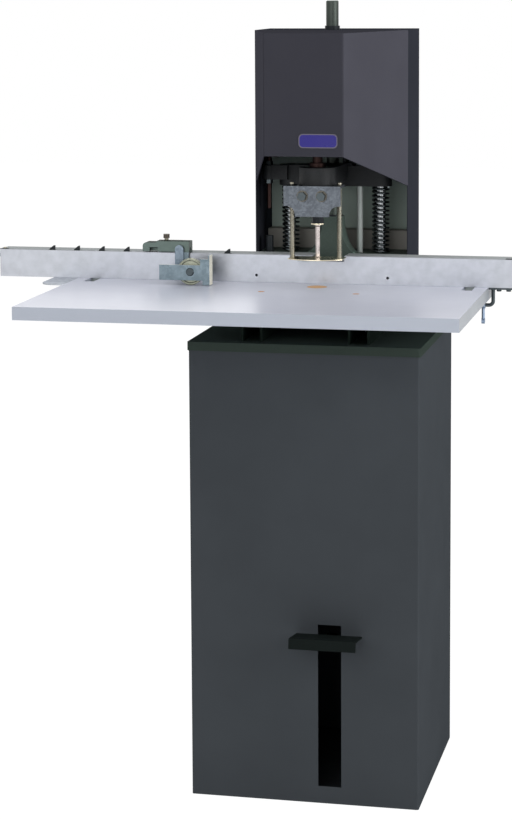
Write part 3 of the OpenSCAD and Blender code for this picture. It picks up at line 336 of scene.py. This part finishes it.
LOOK = {
    "base_plate": "pedestal", "pedestal": "pedestal", "rear_panel": "pedestal", "pedestal_lid": "lid",
    "pedal_brackets": "steel", "pedal_shaft": "steel", "base_casting": "base", "table_brackets": "under",
    "table_board": "laminate", "table_screws": "steel", "screw_plugs": "plug", "drilling_block": "block",
    "rear_housing": "housing", "housing_screws": "black_steel", "head_cover": "cover",
    "ram_bushings": "black_steel", "guide_posts": "steel", "return_springs": "spring",
    "depth_stop_post": "black_steel", "head_casting": "casting", "ram": "ram", "pull_rod": "rod_steel",
    "lock_nuts": "dark_steel", "rod_pin": "steel", "spindle_bearings": "steel", "presser_bracket": "zinc",
    "bracket_bolts": "dark_steel", "depth_screw": "spindle", "motor": "motor", "motor_mount": "black_steel",
    "drive_belt": "belt", "presser_springs": "brass", "spindle": "spindle", "chuck": "black_steel",
    "drill_bit": "drill", "spindle_pulley": "turned", "motor_shaft": "steel", "motor_pulley": "turned",
    "presser_rods": "brass", "presser_foot": "foot_steel", "pedal_arm": "pedal", "pedal_tread": "pedal",
    "fence": "fence", "fence_guide_blocks": "rod_steel", "fence_guide_plate": "plate_zinc",
    "clamp_strap": "dark_steel", "strap_bolts": "dark_steel", "clamp_rod": "dark_steel",
    "clamp_lever": "lever_zinc",
    "stop_carriage": "carriage", "guide_bracket": "guide_zinc", "wheel_axle": "dark_steel",
    "guide_wheel": "yellow_zinc", "thumb_screw": "brass", "trip_lever": "trip_zinc",
    "stop_finger_1": "black_steel", "stop_finger_2": "black_steel", "stop_finger_3": "black_steel",
    "stop_finger_4": "black_steel", "stop_finger_5": "black_steel",
}
for node_name, look in LOOK.items():
    mesh = frame["nodes"][node_name].data
    mesh.materials.clear()
    mesh.materials.append(M[look])


# Pieces made from the solids: edges rounded, surfaces smooth

BODY = {n: b for b, members in frame["record"]["behaviour"]["bodies"].items() for n in members}
WELD_METRES = 2e-6
FLAT_ANGLE = math.radians(0.8)
SHARP_ANGLE = math.radians(38)
SMOOTH_ANGLE = math.radians(32)
WIDE_SEGMENTS = 4


def tidy_object(name, mesh, mats, body, node_names=()):
    """Puts a finished mesh in the scene, on its body, with its materials"""
    thing = bpy.data.objects.new(name, mesh)
    bpy.context.scene.collection.objects.link(thing)
    looks = [p.material_index for p in mesh.polygons]
    mesh.materials.clear()
    for mat in mats:
        mesh.materials.append(M[mat])
    mesh.polygons.foreach_set("material_index", [min(i, len(mats) - 1) for i in looks])
    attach(thing, body)
    if node_names:
        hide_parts(*node_names)
    return thing


def smooth(mesh):
    """Smooth shading with sharp edges kept, and flat faces kept flat beside rounded edges"""
    mesh.polygons.foreach_set("use_smooth", [True] * len(mesh.polygons))
    mesh.set_sharp_from_angle(angle=SMOOTH_ANGLE)
    probe = bpy.data.objects.new("weights", mesh)
    bpy.context.scene.collection.objects.link(probe)
    weights = probe.modifiers.new("weights", "WEIGHTED_NORMAL")
    weights.keep_sharp = True
    solid = bpy.data.meshes.new_from_object(probe.evaluated_get(bpy.context.evaluated_depsgraph_get()))
    bpy.data.objects.remove(probe)
    return solid


def round_edges(bm, width_mm, segments, chosen):
    """Rounds the sharp edges for which chosen(edge) holds"""
    edges = [
        e for e in bm.edges
        if len(e.link_faces) == 2 and e.calc_face_angle(0) > SHARP_ANGLE and chosen(e)]
    if edges:
        bmesh.ops.bevel(
            bm, geom=edges, offset=width_mm * MM, offset_type="OFFSET", segments=segments,
            profile=0.5, affect="EDGES", clamp_overlap=True)


def middle(edge):
    """Point halfway along an edge"""
    return (edge.verts[0].co + edge.verts[1].co) / 2


def dress(node, width=0.6, segments=2, wide=None, wide_width=0.0, second=None, second_look=()):
    """A CAD node's shape with rounded edges, widths in mm: wide ones where wide(edge) holds; second(face)
    gives 0 for the node's own look, or 1 and up for a place in second_look"""
    bm = bmesh.new()
    bm.from_mesh(frame["nodes"][node].data)
    bmesh.ops.remove_doubles(bm, verts=bm.verts, dist=WELD_METRES)
    bmesh.ops.dissolve_limit(bm, angle_limit=FLAT_ANGLE, verts=bm.verts, edges=bm.edges)
    if wide:
        round_edges(bm, wide_width, WIDE_SEGMENTS, wide)
    if width:
        round_edges(bm, width, segments, lambda e: not wide or e.calc_length() > wide_width * MM * 0.6)
    if second:
        bm.normal_update()
        for face in bm.faces:
            face.material_index = int(second(face))
    mesh = bpy.data.meshes.new(node + "_shape")
    bm.to_mesh(mesh)
    bm.free()
    mats = [LOOK[node], *second_look]
    return tidy_object(node + "_shape", smooth(mesh), mats, BODY[node], [node])


def upright(edge):
    """True for edges that run up and down"""
    way = edge.verts[1].co - edge.verts[0].co
    return abs(way.z) > 0.9 * way.length


# Shapes of the scene's own pieces

def from_bmesh(name, bm, mats, node):
    """Finishes a built mesh and lets it ride where the named node does"""
    mesh = bpy.data.meshes.new(name)
    bmesh.ops.recalc_face_normals(bm, faces=bm.faces)
    bm.to_mesh(mesh)
    bm.free()
    return tidy_object(name, smooth(mesh), mats, BODY[node])


def turn_profile(bm, profile, centre, steps, axis="Z", mat_index=0):
    """Turns an outline of (radius, height) pairs in mm round an axis, Z or Y, through centre in metres"""
    spin = Matrix.Identity(3) if axis == "Z" else Matrix.Rotation(-math.pi / 2, 3, "X")
    rings = []
    for radius, height in profile:
        if radius < 1e-6:
            rings.append([bm.verts.new(spin @ Vector((0, 0, height * MM)) + Vector(centre))])
            continue
        rings.append([bm.verts.new(spin @ Vector((
            radius * MM * math.cos(2 * math.pi * k / steps), radius * MM * math.sin(2 * math.pi * k / steps),
            height * MM)) + Vector(centre)) for k in range(steps)])
    for low, high in zip(rings, rings[1:]):
        for k in range(steps):
            n = (k + 1) % steps
            corners = [low[k % len(low)], low[n % len(low)], high[n % len(high)], high[k % len(high)]]
            unique = [v for i, v in enumerate(corners) if v not in corners[:i]]
            if len(unique) > 2:
                bm.faces.new(unique).material_index = mat_index


def slab(bm, low, high):
    """Box between two corners in mm"""
    x0, y0, z0, x1, y1, z1 = (c * MM for c in (*low, *high))
    v = [bm.verts.new((x, y, z)) for z in (z0, z1) for x, y in ((x0, y0), (x1, y0), (x1, y1), (x0, y1))]
    for quad in ((3, 2, 1, 0), (4, 5, 6, 7), (0, 1, 5, 4), (1, 2, 6, 5), (2, 3, 7, 6), (3, 0, 4, 7)):
        bm.faces.new([v[i] for i in quad])


# Springs: a coil generator in geometry nodes

CLOSED_RISE = 2.2  # rise of a closed end turn, in wire radii
STEPS_PER_TURN = 40
WIRE_SIDES = 12


def coil_nodes():
    """Group that sweeps a round wire along a coil, with its end turns closed up"""
    group = bpy.data.node_groups.new("coil_spring", "GeometryNodeTree")
    sockets = {}
    for label, kind, value in (
            ("Mean Radius", "NodeSocketFloat", 0.015), ("Wire Radius", "NodeSocketFloat", 0.002),
            ("Turns", "NodeSocketFloat", 12.0), ("Height", "NodeSocketFloat", 0.1),
            ("Material", "NodeSocketMaterial", None)):
        item = group.interface.new_socket(label, in_out="INPUT", socket_type=kind)
        if value is not None:
            item.default_value = value
        sockets[label] = item.identifier
    group.interface.new_socket("Geometry", in_out="OUTPUT", socket_type="NodeSocketGeometry")
    nodes, links = group.nodes, group.links
    inp, out = nodes.new("NodeGroupInput"), nodes.new("NodeGroupOutput")

    def calc(operation, first, second):
        node = nodes.new("ShaderNodeMath")
        node.operation = operation
        for socket, value in zip(node.inputs, (first, second)):
            if isinstance(value, bpy.types.NodeSocket):
                links.new(value, socket)
            else:
                socket.default_value = value
        return node.outputs[0]

    wire = inp.outputs["Wire Radius"]
    closed = calc("MULTIPLY", wire, CLOSED_RISE)
    body_height = calc("SUBTRACT", inp.outputs["Height"], calc("MULTIPLY", closed, 2.0))
    body_turns = calc("SUBTRACT", inp.outputs["Turns"], 2.0)
    join = nodes.new("GeometryNodeJoinGeometry")
    body_start = calc("ADD", wire, closed)
    body_rise = calc("SUBTRACT", body_height, calc("MULTIPLY", wire, 2.0))
    starts = (wire, body_start, calc("ADD", body_start, body_rise))
    rises = (closed, body_rise, closed)
    turns = (1.0, body_turns, 1.0)
    for start, rise, turn in zip(starts, rises, turns):
        spiral = nodes.new("GeometryNodeCurveSpiral")
        spiral.inputs["Resolution"].default_value = STEPS_PER_TURN
        if isinstance(turn, bpy.types.NodeSocket):
            links.new(turn, spiral.inputs["Rotations"])
        else:
            spiral.inputs["Rotations"].default_value = turn
        links.new(inp.outputs["Mean Radius"], spiral.inputs["Start Radius"])
        links.new(inp.outputs["Mean Radius"], spiral.inputs["End Radius"])
        links.new(rise, spiral.inputs["Height"])
        lift = nodes.new("ShaderNodeCombineXYZ")
        links.new(start, lift.inputs["Z"])
        move = nodes.new("GeometryNodeTransform")
        links.new(spiral.outputs[0], move.inputs["Geometry"])
        links.new(lift.outputs[0], move.inputs["Translation"])
        links.new(move.outputs[0], join.inputs[0])
    ring = nodes.new("GeometryNodeCurvePrimitiveCircle")
    ring.inputs["Resolution"].default_value = WIRE_SIDES
    links.new(wire, ring.inputs["Radius"])
    tube = nodes.new("GeometryNodeCurveToMesh")
    links.new(join.outputs[0], tube.inputs["Curve"])
    links.new(ring.outputs[0], tube.inputs["Profile Curve"])
    tube.inputs["Fill Caps"].default_value = True
    shade_smooth = nodes.new("GeometryNodeSetShadeSmooth")
    links.new(tube.outputs[0], shade_smooth.inputs["Geometry"])
    realize = nodes.new("GeometryNodeRealizeInstances")
    links.new(shade_smooth.outputs[0], realize.inputs[0])
    paint_node = nodes.new("GeometryNodeSetMaterial")
    links.new(realize.outputs[0], paint_node.inputs["Geometry"])
    links.new(inp.outputs["Material"], paint_node.inputs["Material"])
    links.new(paint_node.outputs[0], out.inputs[0])
    return group, sockets


COIL, COIL_SOCKETS = coil_nodes()


def coil_mesh(mean_mm, wire_mm, turns, height_mm, look):
    """Plain mesh of one spring standing on z = 0"""
    seed = bpy.data.objects.new("coil_seed", bpy.data.meshes.new("coil_seed"))
    bpy.context.scene.collection.objects.link(seed)
    mod = seed.modifiers.new("coil", "NODES")
    mod.node_group = COIL
    for label, value in (
            ("Mean Radius", mean_mm * MM), ("Wire Radius", wire_mm * MM), ("Turns", float(turns)),
            ("Height", height_mm * MM), ("Material", M[look])):
        mod[COIL_SOCKETS[label]] = value
    seed.update_tag()
    solid = bpy.data.meshes.new_from_object(seed.evaluated_get(bpy.context.evaluated_depsgraph_get()))
    bpy.data.objects.remove(seed)
    return solid


def spring_pair(name, node, mean_mm, wire_mm, turns, z0, z1, x_mm, y_mm, look):
    """Left and right spring as one piece in the place of their node"""
    bm = bmesh.new()
    coil = coil_mesh(mean_mm, wire_mm, turns, z1 - z0, look)
    for x in (-x_mm, x_mm):
        copy = coil.copy()
        copy.transform(Matrix.Translation((x * MM, y_mm * MM, z0 * MM)))
        bm.from_mesh(copy)
        bpy.data.meshes.remove(copy)
    mesh = bpy.data.meshes.new(name)
    bm.to_mesh(mesh)
    bm.free()
    mesh.polygons.foreach_set("use_smooth", [True] * len(mesh.polygons))
    return tidy_object(name, mesh, [look], BODY[node], [node])


def make_springs():
    """Coils in place of the solids' plain ones: radii of coil and wire, turns, distance from the middle and
    travel in mm; fixed is the end that stays, 0 below and 1 above"""
    for name, node, mean, wire, turns, x, look, joint, travel, fixed in (
            ("return_spring_coils", "return_springs", 15.25, 2.1, 16, 89.0, "spring",
             "head_slide", 52.5, 0),
            ("presser_spring_coils", "presser_springs", 4.6, 0.55, 52, 45.0, "brass",
             "presser_slide", 50.5, 1)):
        ends = [tuple(c / MM for c in corner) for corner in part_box(node)]
        low, high = ends[0][2], ends[1][2]
        piece = spring_pair(name, node, mean, wire, turns, low, high, x, (ends[0][1] + ends[1][1]) / 2, look)
        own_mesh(piece)


make_springs()


# Large sheet and board pieces

def outside_box(node, edge, margin_mm=0.5):
    """True for edges at the corners of a node's outline"""
    low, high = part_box(node)
    mid = middle(edge)
    on = [abs(mid[i] - low[i]) < margin_mm * MM or abs(mid[i] - high[i]) < margin_mm * MM for i in (0, 1)]
    return on[0] and on[1]


HOUSING_CORNER_X, HOUSING_BACK_Y = 0.148, 0.2095
HOUSING_INNER_Y = 0.19
COVER_CORNER_X, COVER_FRONT_Y = 0.0735, -0.19
NOTCH_END_X = -0.018
BASE_BLOCK_Z = (0.951, 1.0)
BASE_LEDGE_Z = 0.99


def housing_corner(e):
    """Upright edges at the housing's back corners"""
    mid = middle(e)
    return upright(e) and mid.y > HOUSING_BACK_Y and abs(mid.x) > HOUSING_CORNER_X


def housing_inner_face(f):
    """Inner face of the housing's back wall, given its green-grey paint lightened as painted light"""
    return f.calc_center_median().y > HOUSING_INNER_Y and f.normal.y < -0.7


def cover_corner(e):
    """Upright edges beside the cover's flat front"""
    mid = middle(e)
    return upright(e) and mid.y < COVER_FRONT_Y and abs(mid.x) > COVER_CORNER_X


def cover_outer_face(f):
    """Outer faces of the cover's two sides, which get the cover paint lightened as painted light"""
    return abs(f.normal.x) > 0.8 and f.normal.x * f.calc_center_median().x > 0


def table_face(f):
    """0 for the top and underside, 1 for the long edges, 2 for the edges at the table's two ends, painted
    darker as shade
    """
    if abs(f.normal.z) >= 0.5:
        return 0
    low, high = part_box("table_board")
    x = f.calc_center_median().x
    return 2 if abs(f.normal.x) > 0.7 and min(x - low[0], high[0] - x) < 0.004 else 1


def fence_face(f):
    """1 for the fence's top, painted darker and matt as shade, 2 for the face at the notch's left end, in a
    lighter aluminium
    """
    mid = f.calc_center_median()
    if f.normal.z > 0.7 and mid.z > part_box("fence")[1][2] - 0.002:
        return 1
    return 2 if f.normal.x > 0.7 and abs(mid.x - NOTCH_END_X) < 0.002 else 0


def base_face(f):
    """1 for the front faces of the base, its enamel lightened as painted light, 2 for its raised ledge at the
    back, its own tone lightened as painted light
    """
    mid = f.calc_center_median()
    low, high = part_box("base_casting")
    if mid.y > high[1] - 0.040 and mid.z > BASE_LEDGE_Z:
        return 2
    return 1 if mid.y < low[1] + 0.006 and BASE_BLOCK_Z[0] < mid.z < BASE_BLOCK_Z[1] else 0


dress("pedestal", width=0.6, wide=lambda e: upright(e) and outside_box("pedestal", e), wide_width=3.2)
dress("pedestal_lid", width=0.8, wide=lambda e: upright(e) and outside_box("pedestal_lid", e), wide_width=4.0)
dress("rear_panel", width=0.6)
dress("base_plate", width=0.5)
dress("rear_housing", width=0.8, wide=housing_corner, wide_width=3.5,
      second=housing_inner_face, second_look=("housing_back",))
# the cover's two sides take a lighter copy of its paint as painted light
dress("head_cover", width=0.9, wide=cover_corner, wide_width=3.0,
      second=cover_outer_face, second_look=("lit_cover_side",))
dress("table_board", width=0.9, segments=3, second=table_face, second_look=("table_edge", "shaded_table_end"))
# the fence's top takes painted shade; the notch's end face takes a lighter aluminium
dress("fence", width=0.5, second=fence_face, second_look=("fence_top", "cut_edge"))
# the base's front takes a lighter copy of its enamel, and its ledge a lightened tone, both as painted light
dress("base_casting", width=1.8, second=base_face, second_look=("lit_base_front", "base_ledge"))
# the carriage's upward faces take a dark matt look as painted shade
dress("stop_carriage", width=0.9, second=lambda f: f.normal.z > 0.7, second_look=("shaded_carriage_top",))

for node_name, width in (
        ("head_casting", 2.2), ("table_brackets", 0.8), ("pedal_arm", 0.9), ("pedal_tread", 1.2),
        ("presser_bracket", 0.7), ("presser_foot", 0.4),
        ("trip_lever", 0.6), ("fence_guide_plate", 0.5), ("fence_guide_blocks", 0.6), ("clamp_strap", 0.6),
        ("strap_bolts", 0.6), ("lock_nuts", 0.6), ("housing_screws", 0.5), ("guide_wheel", 0.4),
        ("wheel_axle", 0.5), ("clamp_lever", 0.7), ("clamp_rod", 0.3),
        ("spindle", 0.5), ("ram_bushings", 0.6), ("ram", 0.5), ("guide_posts", 0.6), ("pull_rod", 0.6),
        ("depth_screw", 0.8), ("depth_stop_post", 1.0), ("motor", 1.0), ("motor_mount", 0.8),
        ("motor_pulley", 0.5), ("spindle_pulley", 0.5), ("presser_rods", 0.5), ("drilling_block", 0.4),
        ("screw_plugs", 0.3), ("table_screws", 0.4), ("pedal_brackets", 0.8), ("pedal_shaft", 0.8),
        ("rod_pin", 0.7),
        ("stop_finger_1", 0.4), ("stop_finger_2", 0.4), ("stop_finger_3", 0.4), ("stop_finger_4", 0.4),
        ("stop_finger_5", 0.4)):
    dress(node_name, width=width)


# Pieces with a second look

def near(node, axis, value_mm, reach_mm):
    """Test for faces whose middle lies within reach of a height on one axis, from the node's low side"""
    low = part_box(node)[0][axis]
    return lambda f: abs(f.calc_center_median()[axis] - low - value_mm * MM) < reach_mm * MM


dress("bracket_bolts", width=0.7, second=near("bracket_bolts", 1, 9.8, 1.05), second_look=("washer",))
dress("chuck", width=0.5, second=near("chuck", 2, 0.6, 1.6), second_look=("foot_steel",))
dress("thumb_screw", width=0.3, second=near("thumb_screw", 2, 30.5, 5.0), second_look=("dark_cap",))


def bright_guide_face(f):
    """Right face of the guide's side plate and the upper edge of its front plate, which take a painted
    highlight
    """
    low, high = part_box("guide_bracket")
    mid = f.calc_center_median()
    at_right = f.normal.x > 0.7 and mid.x > high[0] - 0.001
    at_front = f.normal.z > 0.7 and mid.y < low[1] + 0.003
    return at_right or at_front


# the guide's right face and front edge take a painted highlight
dress("guide_bracket", width=0.6, second=bright_guide_face, second_look=("highlight_face",))


# Small pieces that only the picture shows

def rounded_plate(bm, cx, cz, w, h, r, y0, y1, mat_index=0):
    """Plate in the plane facing the front, with rounded corners, between two depths in mm"""
    steps = 8
    ring = []
    for sx, sz, start in ((1, 1, 0), (-1, 1, 90), (-1, -1, 180), (1, -1, 270)):
        for k in range(steps + 1):
            a = math.radians(start + 90 * k / steps)
            ring.append((cx + sx * (w / 2 - r) + r * math.cos(a), cz + sz * (h / 2 - r) + r * math.sin(a)))
    front = [bm.verts.new((x * MM, y0 * MM, z * MM)) for x, z in ring]
    rear = [bm.verts.new((x * MM, y1 * MM, z * MM)) for x, z in ring]
    bm.faces.new(front).material_index = mat_index
    bm.faces.new(list(reversed(rear))).material_index = mat_index
    for k in range(len(ring)):
        n = (k + 1) % len(ring)
        bm.faces.new((front[n], front[k], rear[k], rear[n])).material_index = mat_index


def make_badge():
    """Plain plate with a rim and rounded corners on the cover's front"""
    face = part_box("head_cover")[0][1] / MM
    x, z = 27.5, 1232.9
    bm = bmesh.new()
    rounded_plate(bm, x, z, 72, 26, 8, face - 1.1, face + 0.1)
    rounded_plate(bm, x, z, 68, 22, 6.5, face - 1.4, face - 1.0, 1)
    from_bmesh("blank_badge_plate", bm, ["badge_rim", "badge"], "head_cover")


def make_end_clips():
    """Thin bent spring clips over both ends of the fence, the left one with its screw"""
    low, high = (tuple(c / MM for c in corner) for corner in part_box("fence"))
    lane = low[1] + 7.5
    half_sheet, half_width = 0.45, 4
    for name, out, end in (("left", -1, low[0]), ("right", 1, high[0])):
        bm = bmesh.new()
        line = [(-14, 0.9), (-2, 1.0), (2.2, 0.4), (4.6, -2.4), (5.2, -6.2), (4.2, -10.4), (1.6, -14.6)]
        rows = []
        for i, (d, z) in enumerate(line):
            a, b = line[max(i - 1, 0)], line[min(i + 1, len(line) - 1)]
            length = math.hypot(b[0] - a[0], b[1] - a[1])
            nx, nz = (a[1] - b[1]) / length, (b[0] - a[0]) / length
            row = []
            for side, across in ((-1, -1), (-1, 1), (1, 1), (1, -1)):
                x = end + out * (d - side * half_sheet * nx)
                point = Vector((x, lane + across * half_width, high[2] + z + side * half_sheet * nz))
                row.append(bm.verts.new(point * MM))
            rows.append(row)
        for low_row, high_row in zip(rows, rows[1:]):
            for k in range(4):
                n = (k + 1) % 4
                bm.faces.new((low_row[k], low_row[n], high_row[n], high_row[k]))
        bm.faces.new(rows[0])
        bm.faces.new(list(reversed(rows[-1])))
        if name == "left":
            turn_profile(bm, [(0, 1.2), (3.4, 1.2), (3.4, 3.0), (2.4, 3.8), (0, 4.0)],
                         ((end + 8) * MM, lane * MM, high[2] * MM), 24, "Z", 1)
        from_bmesh("fence_end_clip_" + name, bm, ["black_steel", "brass"], "fence")


def make_fence_insert():
    """Bright plate let into the fence's face beside the notch"""
    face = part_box("fence")[0][1] / MM
    bm = bmesh.new()
    rounded_plate(bm, -33, 995, 28, 10, 1, face - 0.6, face + 0.1)
    from_bmesh("fence_insert_plate", bm, ["plate_zinc"], "fence")


def make_end_plugs():
    """White moulded plugs just inside both ends of the hollow fence"""
    low, high = (tuple(c / MM for c in corner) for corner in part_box("fence"))
    wall, groove = 4.1, 9.1
    for name, x0, x1 in (("left", low[0] + 0.6, low[0] + 4), ("right", high[0] - 4, high[0] - 0.6)):
        bm = bmesh.new()
        slab(bm, (x0, low[1] + wall, low[2] + wall), (x1, high[1] - wall, high[2] - groove))
        from_bmesh("fence_end_plug_" + name, bm, ["end_plug"], "fence")


def make_panel_screws():
    """Domed screws round the service panel on the pedestal's back"""
    low, high = (tuple(c / MM for c in corner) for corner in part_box("rear_panel"))
    inset = 12
    bm = bmesh.new()
    for x in (low[0] + inset, (low[0] + high[0]) / 2, high[0] - inset):
        for z in (low[2] + inset, high[2] - inset):
            turn_profile(bm, [(0, 0), (5.0, 0), (5.0, 0.8), (3.6, 2.2), (1.6, 2.6), (0, 2.6)],
                         (x * MM, (high[1] - 0.05) * MM, z * MM), 20, "Y")
    from_bmesh("panel_screw_heads", bm, ["dark_steel"], "rear_panel")


make_badge()
make_end_clips()
make_end_plugs()
make_fence_insert()
make_panel_screws()


# Studio

def white_rays(tree):
    """1 for the rays that show the background: from the camera, off a mirror or through glass"""
    rays = add(tree, "LightPath").outputs
    first = add(tree, "Math", {
        0: rays["Is Camera Ray"], 1: rays["Is Glossy Ray"]}, operation="MAXIMUM").outputs[0]
    return add(tree, "Math", {0: first, 1: rays["Is Transmission Ray"]}, operation="MAXIMUM").outputs[0]


FLOOR_GLOW, FLOOR_GLOW_SHARE = 1.12, 0.85
FLOOR_REACH, FLOOR_DROP = 14.0, 0.0005
ROOM_LIGHT = 0.48
LAMP_AIM = (0, 0, 0.95)


def make_stage():
    """Pale floor, white surround and soft lamps"""
    mat, tree = new_material("studio_floor", "#f2f2f2")
    paper = add(tree, "BsdfDiffuse", {"Color": colour("#f4f4f4")})
    glow = add(tree, "Emission", {"Color": (1, 1, 1, 1), "Strength": FLOOR_GLOW})
    seen = white_rays(tree)
    share = add(tree, "Math", {0: seen, 1: FLOOR_GLOW_SHARE}, operation="MULTIPLY").outputs[0]
    blend = add(tree, "MixShader", {0: share, 1: paper.outputs[0], 2: glow.outputs[0]})
    add(tree, "OutputMaterial", {"Surface": blend.outputs[0]})
    floor_mesh = bpy.data.meshes.new("studio_floor")
    corners = [
        (x * FLOOR_REACH, y * FLOOR_REACH, -FLOOR_DROP)
        for x, y in ((-1, -1), (1, -1), (1, 1), (-1, 1))]
    floor_mesh.from_pydata(corners, [], [(0, 1, 2, 3)])
    floor = bpy.data.objects.new("studio_floor", floor_mesh)
    floor_mesh.materials.append(mat)
    bpy.context.scene.collection.objects.link(floor)

    world = bpy.data.worlds.new("studio")
    world.use_nodes = True
    wt = world.node_tree
    wt.nodes.clear()
    dim = add(wt, "Background", {"Color": (1, 1, 1, 1), "Strength": ROOM_LIGHT})
    white = add(wt, "Background", {"Color": (1, 1, 1, 1), "Strength": 1.0})
    both_looks = add(wt, "MixShader", {0: white_rays(wt), 1: dim.outputs[0], 2: white.outputs[0]})
    add(wt, "OutputWorld", {"Surface": both_looks.outputs[0]})
    bpy.context.scene.world = world

    for name, spot, size, power in (
            ("key_lamp", (3.3, -1.2, 2.0), 2.6, 76), ("front_lamp", (-0.9, -4.6, 2.2), 3.2, 50),
            ("top_lamp", (0.0, -0.6, 3.8), 2.4, 14), ("back_lamp", (-1.5, 3.0, 2.6), 2.2, 18)):
        lamp = bpy.data.lights.new(name, "AREA")
        lamp.size = size
        lamp.energy = power
        thing = bpy.data.objects.new(name, lamp)
        thing.location = spot
        aim = Vector(LAMP_AIM) - Vector(spot)
        thing.rotation_euler = aim.to_track_quat("-Z", "Y").to_euler()
        bpy.context.scene.collection.objects.link(thing)


make_stage()
bpy.context.scene.view_settings.view_transform = "Standard"
